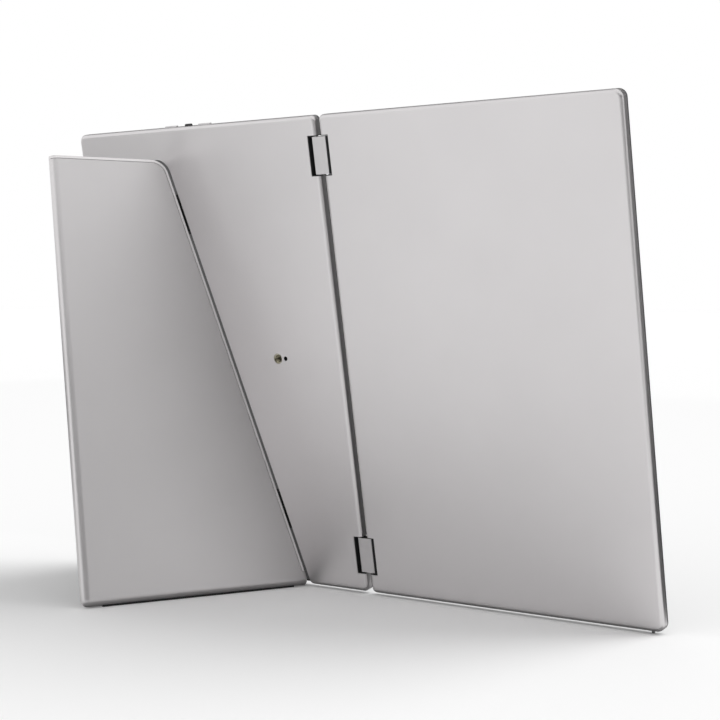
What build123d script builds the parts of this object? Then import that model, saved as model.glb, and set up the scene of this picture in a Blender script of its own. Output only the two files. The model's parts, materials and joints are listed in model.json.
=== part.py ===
"""A folding pair of portable monitors, standing open like a book on its own stand.

Millimetres, +Z up, the screens face -Y and the backs face +Y. Both panels lean back together.
In the panels' own frame x runs towards the main display, y up the panel and z (depth) from the
back face towards the screen, with the origin at the middle of the gap and the panels' lower edge.
"""
import os
from math import atan, cos, degrees, hypot, radians, sin, tan

from build123d import *

# Panels
panel_thickness = 8.0
panel_gap = 3.3
outer_corner_radius = 5.0
hinge_corner_radius = 3.5
back_edge_radius = 2.4
front_edge_radius = 2.0
cover_depth = 5.4
cover_wall = 1.2
fit = 0.05

# Screen stack: the screen and its borders set the panels' height and width
screen_height = 301.6
screen_width = 188.5
hinge_bezel = 11.5
outer_bezel = 9.0
end_bezel = 5.2
window_margin = 1.2
glass_margin = 2.4
glass_thickness = 0.6
glass_set_in = 0.2
oled_thickness = 0.85
plate_thickness = 0.7

# Double-axis hinges between the panels
fold_gap = 0.4
hinge_inset = 25.2
notch_length = 25.4
notch_half_width = 8.1
notch_wall = 1.0
liner_wall = 0.4
liner_set_in = 0.4
liner_end_gap = 0.6
link_length = 23.4
knuckle_radius = 2.9
link_plate_width = 10.4
link_plate_thickness = 0.6
link_plate_proud = 0.1
stub_radius = 1.3
stub_bore = 0.75
stub_engagement = 7.0
stub_running_fit = 0.05
rivet_radius = 1.7
rivet_height = 0.5
ear_thickness = 1.6
ear_rim = 0.5
ear_depth = 3.8
bracket_reach = 22.0
bracket_thickness = 1.2
bracket_standoff = 1.2
cable_radius = 0.6
cable_turn = 1.2

# Stand
stand_open_angle = 70.0
stand_slant = 15.7
stand_axis_x = 49.5
stand_axis_proud = 0.2
stand_gap = 1.5
stand_top_inset = 21.2
stand_top_gap = 0.6
stand_thickness = 2.0
stand_float = 0.4
stand_side_depth = 5.2
stand_roll_radius = 4.8
stand_corner_radius = 12.0
stand_clip = 5.0
stand_rim_width = 2.0
stand_rim_drop = 0.45
recess_wall = 0.9
recess_mouth_chamfer = 2.0
stand_foot_proud = 0.2
stand_foot_width = 2.6
stand_foot_end_gap = 9.0

# Curved stand hinges
arm_inner_radius = 4.0
arm_thickness = 0.8
arm_length = 24.0
arm_end_angle = 155.0
arm_root_angle = 36.0
track_clearance = 0.3
track_wall = 1.7
track_mouth = 1.2
track_reach = 9.5
track_body = 6.0
track_flange_height = 1.2
track_end_room = 4.0
track_screw_bite = 0.8
track_screw_spread = 8.0
arm_screw_bite = 1.4
arm_screw_spread = 7.0
lower_track_inset = 54.0
upper_track_inset = 38.0
leaf_near = 1.6
leaf_far = 13.0
leaf_thickness = 0.9
window_clearance = 1.0

# Feet, tripod socket and magnets
foot_length = 1.8
foot_depth = 2.2
foot_inset = 8.7
foot_centre_depth = 4.0
foot_seat = 0.6
tripod_x = 54.0
tripod_thread_radius = 3.175
tripod_insert_radius = 4.4
tripod_neck_wall = 0.35
tripod_set_in = 0.15
pin_hole_radius = 1.5
pin_hole_offset = 6.6
pin_hole_rise = 0.2
pin_boss_wall = 1.0
pin_hole_depth = 3.2
tripod_thread_length = 4.7
magnet_radius = 5.0
magnet_thickness = 1.6
magnet_inset = 22.0
lower_magnet_inset = 60.0
upper_magnet_inset = 55.0
catch_thickness = 0.4

# Controls on the main display's top edge
control_depth = 3.6
power_button_x = 95.0
joystick_x = 109.4
menu_button_x = 124.8
button_length = 11.0
button_width = 2.2
button_proud = 0.8
button_travel = 0.35
button_clearance = 0.2
button_flange = 0.7
button_flange_side = 0.4
button_flange_height = 1.0
button_nub = 0.4
button_nub_radius = 0.6
button_edge_radius = 0.3
button_rest_gap = 0.1
light_radius = 0.45
light_offset = 4.2
light_depth = 0.6
switch_length = 5.0
switch_height = 2.8
control_board_thickness = 0.8
control_board_height = 11.0
joystick_press = 0.25
joystick_cap_length = 6.2
joystick_cap_width = 2.2
joystick_cap_height = 1.7
joystick_cap_sink = 0.3
joystick_dome_radius = 0.9
joystick_hole_length = 8.2
joystick_hole_width = 3.6
stem_radius = 0.7
rocker_drop = 8.7
stick_drop = 5.8
pivot_radius = 0.28
pivot_fit = 0.04
lug_half = 0.45
cheek_gap = 0.15
cheek_thickness = 0.5
lug_reach = 0.85
cheek_drop = 0.6
bridge_gap = 0.25
bridge_height = 0.8
stem_seat = 0.5
housing_wall = 0.6
slide_gap = 0.1
plunger_height = 1.2
plunger_half_length = 2.0
plunger_half_depth = 1.15
plunger_floor_gap = 0.15
lug_neck = 1.1

# Sockets on the main display's top edge
socket_depth = 3.6
usb_places = (66.0, 50.0)
usb_length = 8.94
usb_height = 3.26
usb_wall = 0.3
usb_reach = 7.3
tongue_length = 6.6
tongue_height = 0.7
tongue_reach = 5.0
hdmi_place = 31.0
hdmi_length = 11.2
hdmi_height = 3.2
hdmi_wall = 0.35
hdmi_corner = 1.1
hdmi_tongue_length = 8.0
socket_set_in = 0.4
socket_clearance = 0.1

# Boards and screws
board_thickness = 0.8
board_depth = 3.2
board_near = 24.0
board_far = 74.0
board_rise = 30.0
driver_board_far = 60.0
driver_board_top_inset = 37.0
chip_height = 1.0
power_chip_size = 6.0
memory_chip_size = 9.0
picture_chip_size = 12.0
board_screw_inset = 4.0
boss_radius = 2.2
screw_radius = 0.78
screw_hole_radius = 0.8
screw_head_radius = 1.6
screw_head_height = 0.7
screw_bite = 1.6
plate_boss_inset = 16.0
plate_boss_spread = 90.0

# Worked out from the dimensions above
panel_height = screen_height + 2 * end_bezel
panel_width = hinge_bezel + screen_width + outer_bezel
edge_x = panel_gap / 2
outer_x = edge_x + panel_width
panel_mid_x = edge_x + panel_width / 2
mid_depth = panel_thickness / 2
hinge_axis_x = (panel_thickness + fold_gap) / 2
hinge_heights = (hinge_inset, panel_height - hinge_inset)
notch_half_length = notch_length / 2
ear_near = notch_half_length + notch_wall + fit
ear_far = ear_near + ear_thickness
ear_x = hinge_axis_x - stub_radius - ear_rim
bracket_depth = cover_wall + bracket_standoff
stub_inner_end = link_length / 2 - stub_engagement
stub_outer_end = ear_far + rivet_height
screen_x = edge_x + hinge_bezel + screen_width / 2
glass_depth = panel_thickness - glass_set_in - glass_thickness
oled_depth = glass_depth - fit - oled_thickness
plate_depth = oled_depth - fit - plate_thickness
recess_depth = stand_thickness + stand_float
side_channel = stand_thickness + stand_float
recess_floor = recess_depth + recess_wall
slant_tan = tan(radians(stand_slant))
slant_cos = cos(radians(stand_slant))
stand_top = panel_height - stand_top_inset
track_places = (lower_track_inset, stand_top / slant_cos - upper_track_inset)
magnet_places = (lower_magnet_inset, stand_top - upper_magnet_inset)
arm_outer_radius = arm_inner_radius + arm_thickness
track_inner_radius = arm_inner_radius - track_clearance
track_outer_radius = arm_outer_radius + track_clearance
track_length = arm_length + 2 * (track_clearance + track_wall)
top_wall_inside = panel_height - cover_wall
flange_top = top_wall_inside - button_rest_gap
switch_top = flange_top - button_flange_height - button_nub - button_travel - fit
control_board_front = cover_wall + control_board_thickness + 2 * fit
rocker_height = panel_height - rocker_drop
stick_height = panel_height - stick_drop
plunger_top = rocker_height - lug_neck
plunger_bottom = plunger_top - plunger_height
housing_bottom = plunger_bottom - joystick_press - plunger_floor_gap - housing_wall
housing_top = stick_height + lug_reach
cheek_reach = lug_half + cheek_gap + cheek_thickness
cap_bottom = panel_height - joystick_cap_sink
socket_mouth = panel_height - socket_set_in
socket_rear = socket_mouth - usb_reach
plate_boss_heights = [panel_height / 2 + way * plate_boss_spread for way in (-1, 0, 1)]
board_bottom = panel_height / 2 + board_rise
main_board_top = socket_rear - fit
driver_board_top = panel_height - driver_board_top_inset
chip_sizes = (power_chip_size, picture_chip_size, memory_chip_size)
stand_foot_near = stand_axis_x + stand_clip * slant_tan + stand_gap / 2 / slant_cos + stand_foot_end_gap
stand_foot_length = outer_x - outer_corner_radius - stand_foot_end_gap - stand_foot_near
stand_foot_middle = stand_foot_near + stand_foot_length / 2 - stand_axis_x
track_screw_u = -(track_reach + track_body) / 2
track_screw_places = [
    (track_screw_u, along + way * track_screw_spread) for along in track_places for way in (-1, 1)
]
arm_screw_u = (arm_outer_radius + leaf_far) / 2
arm_screw_places = [
    (arm_screw_u, along + way * arm_screw_spread) for along in track_places for way in (-1, 1)
]

# The panels lean so that the lower edges of the panels and of the open stand are all level
lean = degrees(atan(sin(radians(stand_slant)) * tan(radians(stand_open_angle / 2))))
lean_sin = sin(radians(lean))
lean_cos = cos(radians(lean))
panel_lift = stand_foot_proud * lean_cos + (stand_side_depth + 2 * stand_axis_proud) * lean_sin


def leaning_plane(back):
    """The panels' frame, with its lower edge this far back from the origin."""
    return Plane(origin=(0, back, panel_lift), x_dir=(1, 0, 0), z_dir=(0, -lean_cos, lean_sin))


def stand_axis_frame(panels):
    """The stand's hinge line: x from the line towards the flap, y along it, z towards the screen."""
    origin = panels.from_local_coords(Vector(stand_axis_x, 0, -stand_axis_proud))
    across = Vector(slant_cos, -sin(radians(stand_slant)), 0)
    x_dir = panels.x_dir * across.X + panels.y_dir * across.Y
    return Plane(origin=origin, x_dir=x_dir, z_dir=panels.z_dir)


def swung_open(frame):
    """The stand's hinge line frame with the flap's side swung open about the line."""
    open_cos = cos(radians(stand_open_angle))
    open_sin = sin(radians(stand_open_angle))
    x_dir = frame.x_dir * open_cos - frame.z_dir * open_sin
    z_dir = frame.x_dir * open_sin + frame.z_dir * open_cos
    return Plane(origin=frame.origin, x_dir=x_dir, z_dir=z_dir)


def stand_frame(panels):
    """The open stand's own frame, square to the panel's edges when the stand is shut."""
    line = swung_open(stand_axis_frame(panels))
    x_dir = line.x_dir * slant_cos + line.y_dir * sin(radians(stand_slant))
    return Plane(origin=line.origin, x_dir=x_dir, z_dir=line.z_dir)


# The object is centred over the origin from its front edge to the stand's rearmost corner
trial = stand_frame(leaning_plane(0))
rear_reach = (
    trial.origin.Y
    + trial.x_dir.Y * (outer_x - outer_corner_radius - stand_axis_x)
    + trial.y_dir.Y * outer_corner_radius
    + trial.z_dir.Y * (stand_roll_radius + stand_axis_proud)
    + (outer_corner_radius - stand_roll_radius) * hypot(trial.x_dir.Y, trial.y_dir.Y)
    + stand_roll_radius
)
front_reach = (
    (panel_thickness - front_edge_radius) * lean_cos - front_edge_radius * lean_sin + front_edge_radius
)
panels = leaning_plane((front_reach - rear_reach) / 2)
stand_axis = stand_axis_frame(panels)
stand = stand_frame(panels)
open_axis = swung_open(stand_axis)
depth_axis = Axis(panels.origin, panels.z_dir)
stand_across = Axis(stand.origin, stand.x_dir)
stand_up = Axis(stand.origin, stand.y_dir)
stand_depth = Axis(stand.origin, stand.z_dir)


def level(height):
    """A plane square to the panels' height, whose sketch runs along x and minus depth."""
    return Plane(panels.from_local_coords(Vector(0, height, 0)), x_dir=panels.x_dir, z_dir=panels.y_dir)


def upright(x):
    """A plane square to the panels' width, whose sketch runs along height and depth."""
    return Plane(panels.from_local_coords(Vector(x, 0, 0)), x_dir=panels.y_dir, z_dir=panels.x_dir)


def hinge_line_section(frame, along):
    """A plane square to the stand's hinge line, whose sketch runs away from it and outwards."""
    origin = frame.from_local_coords(Vector(0, along, 0))
    return Plane(origin, x_dir=frame.x_dir, z_dir=frame.y_dir)


def panel_outline(side, inset=0.0):
    """One panel's outline: side is 1 for the main display and -1 for the second."""
    with BuildSketch(Plane.XY, mode=Mode.PRIVATE) as outline:
        with Locations((side * panel_mid_x, panel_height / 2)):
            Rectangle(panel_width - 2 * inset, panel_height - 2 * inset)
        corners = outline.vertices().group_by(Axis.X)
        fillet(corners[-1 if side > 0 else 0], max(outer_corner_radius - inset, fit))
        corners = outline.vertices().group_by(Axis.X)
        fillet(corners[0 if side > 0 else -1], max(hinge_corner_radius - inset, fit))
    return outline.sketch


def hinge_notches(grow=0.0):
    """The notches for both hinges, across both panels."""
    with BuildSketch(Plane.XY, mode=Mode.PRIVATE) as notches:
        with Locations([(0, height) for height in hinge_heights]):
            Rectangle(2 * (notch_half_width + grow), notch_length + 2 * grow)
    return notches.sketch


def stand_line_x(height, away):
    """Where a line beside the stand's hinge line, this far towards the flap, crosses a height."""
    return stand_axis_x + height * slant_tan + away / slant_cos


def stand_recess(grow=0.0):
    """The area of the main display's back that the stand takes, past the panel's own edges."""
    away = -(stand_gap / 2 + grow)
    top = stand_top + stand_top_gap + grow
    beyond = outer_x + panel_gap
    mouth = stand_line_x(recess_mouth_chamfer, away)
    with BuildSketch(Plane.XY, mode=Mode.PRIVATE) as recess:
        with BuildLine():
            Polyline(
                (mouth - recess_mouth_chamfer, -panel_gap),
                (mouth - recess_mouth_chamfer, 0),
                (mouth, recess_mouth_chamfer),
                (stand_line_x(top, away), top),
                (beyond, top),
                (beyond, -panel_gap),
                close=True,
            )
        make_face()
        inner_corner = recess.vertices().group_by(Axis.Y)[-1].sort_by(Axis.X)[0]
        fillet(inner_corner, stand_corner_radius + stand_top_gap + grow)
    return recess.sketch


def stand_outline():
    """The flap's outline, from the stand's own origin."""
    away = stand_gap / 2
    with BuildSketch(Plane.XY, mode=Mode.PRIVATE) as outline:
        with BuildLine(Location((-stand_axis_x, 0))):
            Polyline(
                (stand_line_x(stand_clip, away), 0),
                (stand_line_x(stand_clip, away), stand_clip),
                (stand_line_x(stand_top, away), stand_top),
                (outer_x, stand_top),
                (outer_x, 0),
                close=True,
            )
        make_face()
        fillet(outline.vertices().group_by(Axis.Y)[-1].sort_by(Axis.X)[0], stand_corner_radius)
        fillet(outline.vertices().group_by(Axis.Y)[0].sort_by(Axis.X)[-1], outer_corner_radius)
    return outline.sketch


def stand_hollow():
    """The flap's hollow inner side, open towards its top and its slanted edge."""
    with BuildSketch(Plane.XY, mode=Mode.PRIVATE) as hollow:
        with BuildLine(Location((-stand_axis_x, 0))):
            Polyline(
                (0, stand_thickness),
                (0, stand_top + panel_gap),
                (outer_x - stand_thickness, stand_top + panel_gap),
                (outer_x - stand_thickness, stand_thickness),
                close=True,
            )
        make_face()
        fillet(
            hollow.vertices().group_by(Axis.Y)[0].sort_by(Axis.X)[-1], outer_corner_radius - stand_thickness
        )
    return hollow.sketch


def is_rim_edge(edge):
    """Whether an edge of the flap's back face is on its top, its slanted side or its clipped tip."""
    middle = stand.to_local_coords(edge @ 0.5)
    slanted_side = stand_line_x(max(middle.Y, stand_clip), stand_gap / 2) - stand_axis_x
    on_top = middle.Y > stand_top - stand_corner_radius
    return on_top or middle.X < slanted_side + stand_rim_width


def bridge_bottom(pivot_height):
    """Where a fork's bridge starts, clear of the lug that it straddles."""
    return pivot_height + lug_reach + bridge_gap


def board_screw_places(side, far, top):
    """Where a board is screwed to the bosses under it."""
    return [
        (side * x, height)
        for x in (board_near + board_screw_inset, far - board_screw_inset)
        for height in (board_bottom + board_screw_inset, top - board_screw_inset)
    ]


def board_bosses(side, far, top):
    """Bosses with pilot holes that carry a board."""
    places = board_screw_places(side, far, top)
    with BuildPart(mode=Mode.PRIVATE) as bosses:
        with BuildSketch(panels.offset(cover_wall)):
            with Locations(places):
                Circle(boss_radius)
                Circle(screw_hole_radius, mode=Mode.SUBTRACT)
        extrude(amount=board_depth - cover_wall - fit)
    return bosses.part


def arc_band(inner, outer, start, sweep):
    """A band round the stand's hinge line, from start degrees below the flap's side."""
    with BuildSketch(Plane.XY, mode=Mode.PRIVATE) as band:
        with BuildLine():
            near = CenterArc((0, 0), inner, -start - sweep, sweep)
            far = CenterArc((0, 0), outer, -start - sweep, sweep)
            Line(near @ 0, far @ 0)
            Line(near @ 1, far @ 1)
        make_face()
    return band.sketch


def screen_rectangle(side, margin):
    """A rectangle round one panel's lit area."""
    with BuildSketch(Plane.XY, mode=Mode.PRIVATE) as area:
        with Locations((side * screen_x, panel_height / 2)):
            Rectangle(screen_width + 2 * margin, screen_height + 2 * margin)
    return area.sketch


def bracket_screw_places(side):
    """Where the hinge brackets' screws stand."""
    reach = (notch_half_width + notch_wall + bracket_reach) / 2
    return [
        (side * reach, height + offset * notch_half_length / 2)
        for height in hinge_heights
        for offset in (-1, 1)
    ]


def plate_boss_places(side):
    """Where the mid plate is screwed to the back cover."""
    return [(side * (edge_x + plate_boss_inset), height) for height in plate_boss_heights]


def ear_boxes(side, start, end, depth_from, depth_to, x_from, x_to):
    """Boxes above and below each hinge notch, given by their reach from the hinge's middle."""
    with BuildPart(mode=Mode.PRIVATE) as boxes:
        with BuildSketch(panels.offset(depth_from)):
            for height in hinge_heights:
                for way in (-1, 1):
                    with Locations((side * (x_from + x_to) / 2, height + way * (start + end) / 2)):
                        Rectangle(x_to - x_from, end - start)
        extrude(amount=depth_to - depth_from)
    return boxes.part


def stub_rods(side, radius, start, end):
    """Round rods on one panel's hinge axis, above and below each hinge's middle."""
    with BuildPart(mode=Mode.PRIVATE) as rods:
        for height in hinge_heights:
            for way in (-1, 1):
                with BuildSketch(level(height + way * start)):
                    with Locations((side * hinge_axis_x, -mid_depth)):
                        Circle(radius)
                extrude(amount=way * (end - start))
    return rods.part


def ear_pocket(side):
    """Room for the hinge brackets' ears and rivets in the panel's edge."""
    return ear_boxes(
        side,
        ear_near - fit,
        stub_outer_end + fit,
        mid_depth - ear_depth / 2 - fit,
        mid_depth + ear_depth / 2 + fit,
        ear_x - fit,
        hinge_axis_x + ear_depth / 2 + fit,
    )


def cover_bosses(side):
    """Bosses inside a back cover for the brackets and the mid plate, with their pilot holes."""
    with BuildPart(mode=Mode.PRIVATE) as bosses:
        with BuildSketch(panels.offset(cover_wall)):
            with Locations(bracket_screw_places(side)):
                Circle(boss_radius)
        extrude(amount=bracket_standoff)
        with BuildSketch(panels.offset(cover_wall)):
            with Locations(plate_boss_places(side)):
                Circle(boss_radius)
        extrude(amount=plate_depth - cover_wall - fit)
        with BuildSketch(panels.offset(bracket_depth)):
            with Locations(bracket_screw_places(side)):
                Circle(screw_hole_radius)
        extrude(amount=-screw_bite, mode=Mode.SUBTRACT)
        with BuildSketch(panels.offset(plate_depth)):
            with Locations(plate_boss_places(side)):
                Circle(screw_hole_radius)
        extrude(amount=-screw_bite, mode=Mode.SUBTRACT)
    return bosses.part


def pilot_holes(side):
    """The brackets' pilot holes where they go on into the cover's wall."""
    with BuildPart(mode=Mode.PRIVATE) as holes:
        with BuildSketch(panels.offset(bracket_depth)):
            with Locations(bracket_screw_places(side)):
                Circle(screw_hole_radius)
        extrude(amount=-screw_bite)
    return holes.part


def control_slot(x, length, width, depth_at):
    """A slot with round ends through the main display's top wall, as a sketch on its level."""
    with BuildSketch(Plane.XY, mode=Mode.PRIVATE) as slot:
        with Locations((x, -depth_at)):
            SlotOverall(length, width)
    return slot.sketch


def hdmi_outline(grow=0.0):
    """The mini HDMI socket's outline: a rectangle with its two back corners cut."""
    half = hdmi_length / 2 + grow
    top = hdmi_height / 2 + grow
    with BuildSketch(Plane.XY, mode=Mode.PRIVATE) as outline:
        with BuildLine(Location((hdmi_place, -socket_depth))):
            Polyline(
                (-half, -top),
                (half, -top),
                (half, top - hdmi_corner),
                (half - hdmi_corner, top),
                (-half + hdmi_corner, top),
                (-half, top - hdmi_corner),
                close=True,
            )
        make_face()
    return outline.sketch


os.makedirs("parts", exist_ok=True)

# Main display: back cover
with BuildPart() as main_back_cover:
    with BuildSketch(panels):
        add(panel_outline(1))
    extrude(amount=cover_depth)
    fillet(main_back_cover.faces().sort_by(depth_axis)[0].edges(), back_edge_radius)
    with BuildSketch(panels.offset(cover_wall)):
        add(panel_outline(1, cover_wall))
        add(hinge_notches(notch_wall), mode=Mode.SUBTRACT)
        add(stand_recess(recess_wall), mode=Mode.SUBTRACT)
    extrude(amount=cover_depth - cover_wall, mode=Mode.SUBTRACT)
    with BuildSketch(panels.offset(recess_floor)):
        add(panel_outline(1, side_channel + recess_wall))
        add(hinge_notches(notch_wall), mode=Mode.SUBTRACT)
    extrude(amount=cover_depth - recess_floor, mode=Mode.SUBTRACT)
    with BuildSketch(panels):
        add(stand_recess())
    extrude(amount=recess_depth, mode=Mode.SUBTRACT)
    with BuildSketch(panels):
        add(stand_recess())
        add(panel_outline(1, side_channel), mode=Mode.SUBTRACT)
    extrude(amount=cover_depth, mode=Mode.SUBTRACT)
    add(cover_bosses(1))
    add(board_bosses(1, board_far, main_board_top))
    add(pilot_holes(1), mode=Mode.SUBTRACT)
    with BuildSketch(panels):
        add(hinge_notches())
    extrude(amount=cover_depth, mode=Mode.SUBTRACT)
    add(stub_rods(1, stub_radius + liner_wall / 2, 0, ear_near), mode=Mode.SUBTRACT)
    add(ear_pocket(1), mode=Mode.SUBTRACT)
    # Openings under the flap for the curved hinges
    for along in track_places:
        with BuildSketch(hinge_line_section(stand_axis, along - track_length / 2 - fit)):
            low = stand_axis_proud + cover_depth
            with BuildLine():
                Polyline(
                    (-track_reach - fit, -stand_axis_proud - cover_wall),
                    (-stand_gap / 2, -stand_axis_proud - cover_wall),
                    (-stand_gap / 2, -stand_axis_proud - recess_depth),
                    (leaf_far + window_clearance, -stand_axis_proud - recess_depth),
                    (leaf_far + window_clearance, -low),
                    (-track_reach - fit, -low),
                    close=True,
                )
            make_face()
        extrude(amount=track_length + 2 * fit, mode=Mode.SUBTRACT)
    with BuildSketch(stand_axis.offset(stand_axis_proud + cover_wall)):
        with Locations(track_screw_places):
            Circle(screw_hole_radius)
    extrude(amount=-track_screw_bite, mode=Mode.SUBTRACT)
    # Tripod socket and its pin hole
    with BuildSketch(panels.offset(cover_wall)):
        with Locations((tripod_x - pin_hole_offset, panel_height / 2 + pin_hole_rise)):
            Circle(pin_hole_radius + pin_boss_wall)
    extrude(amount=pin_hole_depth - cover_wall + pin_boss_wall)
    with BuildSketch(panels):
        with Locations((tripod_x - pin_hole_offset, panel_height / 2 + pin_hole_rise)):
            Circle(pin_hole_radius)
    extrude(amount=pin_hole_depth, mode=Mode.SUBTRACT)
    with BuildSketch(panels):
        with Locations((tripod_x, panel_height / 2)):
            Circle(tripod_thread_radius + tripod_neck_wall + fit)
    extrude(amount=cover_wall, mode=Mode.SUBTRACT)
    with BuildSketch(panels.offset(cover_wall)):
        with Locations((tripod_x, panel_height / 2)):
            Circle(tripod_insert_radius + fit)
    extrude(amount=cover_depth - cover_wall, mode=Mode.SUBTRACT)
    # Openings in the top edge
    with BuildSketch(level(panel_height)):
        for x in (power_button_x, menu_button_x):
            slot_length = button_length + 2 * button_clearance
            add(control_slot(x, slot_length, button_width + 2 * button_clearance, control_depth))
        add(control_slot(joystick_x, joystick_hole_length, joystick_hole_width, control_depth))
        for x in usb_places:
            opening = usb_length + 2 * socket_clearance
            add(control_slot(x, opening, usb_height + 2 * socket_clearance, socket_depth))
        add(hdmi_outline(socket_clearance))
    extrude(amount=-cover_wall - fit, mode=Mode.SUBTRACT)
main_back_cover.part.label = "main_back_cover"
export_step(main_back_cover.part, "parts/main_back_cover.step")

# Second display: back cover
with BuildPart() as second_back_cover:
    with BuildSketch(panels):
        add(panel_outline(-1))
    extrude(amount=cover_depth)
    fillet(second_back_cover.faces().sort_by(depth_axis)[0].edges(), back_edge_radius)
    with BuildSketch(panels.offset(cover_wall)):
        add(panel_outline(-1, cover_wall))
        add(hinge_notches(notch_wall), mode=Mode.SUBTRACT)
    extrude(amount=cover_depth - cover_wall, mode=Mode.SUBTRACT)
    add(cover_bosses(-1))
    add(board_bosses(-1, driver_board_far, driver_board_top))
    add(pilot_holes(-1), mode=Mode.SUBTRACT)
    with BuildSketch(panels):
        add(hinge_notches())
    extrude(amount=cover_depth, mode=Mode.SUBTRACT)
    add(stub_rods(-1, stub_radius + liner_wall / 2, 0, ear_near), mode=Mode.SUBTRACT)
    add(ear_pocket(-1), mode=Mode.SUBTRACT)
    with BuildSketch(level(0)):
        with Locations((-(outer_x - foot_inset), -foot_centre_depth)):
            SlotOverall(foot_depth + 2 * fit, foot_length + 2 * fit, rotation=90)
    extrude(amount=foot_seat, mode=Mode.SUBTRACT)
second_back_cover.part.label = "second_back_cover"
export_step(second_back_cover.part, "parts/second_back_cover.step")

# What both displays hold in the same way
for side, name in ((1, "main"), (-1, "second")):
    with BuildPart() as bezel:
        with BuildSketch(panels.offset(cover_depth + fit)):
            add(panel_outline(side))
        extrude(amount=panel_thickness - cover_depth - fit)
        fillet(bezel.faces().sort_by(depth_axis)[-1].edges(), front_edge_radius)
        with BuildSketch(panels.offset(cover_depth)):
            add(screen_rectangle(side, window_margin))
        extrude(amount=panel_thickness - cover_depth, mode=Mode.SUBTRACT)
        with BuildSketch(panels.offset(glass_depth)):
            add(screen_rectangle(side, glass_margin))
        extrude(amount=panel_thickness - glass_depth, mode=Mode.SUBTRACT)
        with BuildSketch(panels.offset(cover_depth)):
            add(hinge_notches())
        extrude(amount=panel_thickness - cover_depth, mode=Mode.SUBTRACT)
        add(ear_pocket(side), mode=Mode.SUBTRACT)
    bezel.part.label = f"{name}_bezel"
    export_step(bezel.part, f"parts/{name}_bezel.step")

    with BuildPart() as glass:
        with BuildSketch(panels.offset(glass_depth)):
            add(screen_rectangle(side, glass_margin - fit))
        extrude(amount=glass_thickness)
    glass.part.label = f"{name}_screen_glass"
    export_step(glass.part, f"parts/{name}_screen_glass.step")

    with BuildPart() as oled:
        with BuildSketch(panels.offset(oled_depth)):
            add(screen_rectangle(side, window_margin - fit))
        extrude(amount=oled_thickness)
    oled.part.label = f"{name}_oled_panel"
    export_step(oled.part, f"parts/{name}_oled_panel.step")

    with BuildPart() as mid_plate:
        with BuildSketch(panels.offset(plate_depth)):
            add(screen_rectangle(side, window_margin - fit))
            with Locations(plate_boss_places(side)):
                Circle(screw_radius + fit, mode=Mode.SUBTRACT)
        extrude(amount=plate_thickness)
        with BuildSketch(panels.offset(plate_depth + plate_thickness)):
            with Locations(plate_boss_places(side)):
                Circle(screw_head_radius + fit)
        extrude(amount=-plate_thickness / 2, mode=Mode.SUBTRACT)
    mid_plate.part.label = f"{name}_mid_plate"
    export_step(mid_plate.part, f"parts/{name}_mid_plate.step")

    with BuildPart() as plate_screws:
        with BuildSketch(panels.offset(plate_depth + plate_thickness / 2)):
            with Locations(plate_boss_places(side)):
                Circle(screw_head_radius)
        extrude(amount=plate_thickness / 2)
        with BuildSketch(panels.offset(plate_depth + plate_thickness / 2)):
            with Locations(plate_boss_places(side)):
                Circle(screw_radius)
        extrude(amount=-screw_bite)
    plate_screws.part.label = f"{name}_plate_screws"
    export_step(plate_screws.part, f"parts/{name}_plate_screws.step")

    with BuildPart() as brackets:
        with BuildSketch(panels.offset(bracket_depth)):
            plate_near = notch_half_width + notch_wall + fit
            with Locations([(side * (plate_near + bracket_reach) / 2, height) for height in hinge_heights]):
                Rectangle(bracket_reach - plate_near, 2 * ear_far)
            with Locations(bracket_screw_places(side)):
                Circle(screw_radius + fit, mode=Mode.SUBTRACT)
        extrude(amount=bracket_thickness)
        add(
            ear_boxes(
                side,
                ear_near,
                ear_far,
                bracket_depth,
                bracket_depth + bracket_thickness,
                ear_x,
                bracket_reach,
            )
        )
        add(
            ear_boxes(
                side,
                ear_near,
                ear_far,
                mid_depth - ear_depth / 2,
                mid_depth + ear_depth / 2,
                ear_x,
                hinge_axis_x + ear_depth / 2,
            )
        )
        add(stub_rods(side, stub_radius, 0, stub_outer_end), mode=Mode.SUBTRACT)
    brackets.part.label = f"{name}_hinge_brackets"
    export_step(brackets.part, f"parts/{name}_hinge_brackets.step")

    with BuildPart() as bracket_screws:
        with BuildSketch(panels.offset(bracket_depth + bracket_thickness)):
            with Locations(bracket_screw_places(side)):
                Circle(screw_head_radius)
        extrude(amount=screw_head_height)
        with BuildSketch(panels.offset(bracket_depth + bracket_thickness)):
            with Locations(bracket_screw_places(side)):
                Circle(screw_radius)
        extrude(amount=-bracket_thickness - screw_bite)
    bracket_screws.part.label = f"{name}_bracket_screws"
    export_step(bracket_screws.part, f"parts/{name}_bracket_screws.step")

    with BuildPart() as stubs:
        add(stub_rods(side, stub_radius, stub_inner_end, ear_far))
        add(stub_rods(side, rivet_radius, ear_far, stub_outer_end))
        add(stub_rods(side, stub_bore, stub_inner_end, stub_outer_end), mode=Mode.SUBTRACT)
    stubs.part.label = f"{name}_hinge_stubs"
    export_step(stubs.part, f"parts/{name}_hinge_stubs.step")

    with BuildPart() as liners:
        with BuildSketch(panels.offset(liner_set_in)):
            liner_x = (edge_x + liner_end_gap + notch_half_width - fit) / 2
            with Locations([(side * liner_x, height) for height in hinge_heights]):
                Rectangle(2 * (notch_half_width - fit - liner_x), notch_length - 2 * fit)
            add(hinge_notches(-liner_wall - fit), mode=Mode.SUBTRACT)
        extrude(amount=panel_thickness - 2 * liner_set_in)
        add(stub_rods(side, stub_radius + liner_wall / 2, 0, ear_near), mode=Mode.SUBTRACT)
    liners.part.label = f"{name}_notch_liners"
    export_step(liners.part, f"parts/{name}_notch_liners.step")

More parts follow.
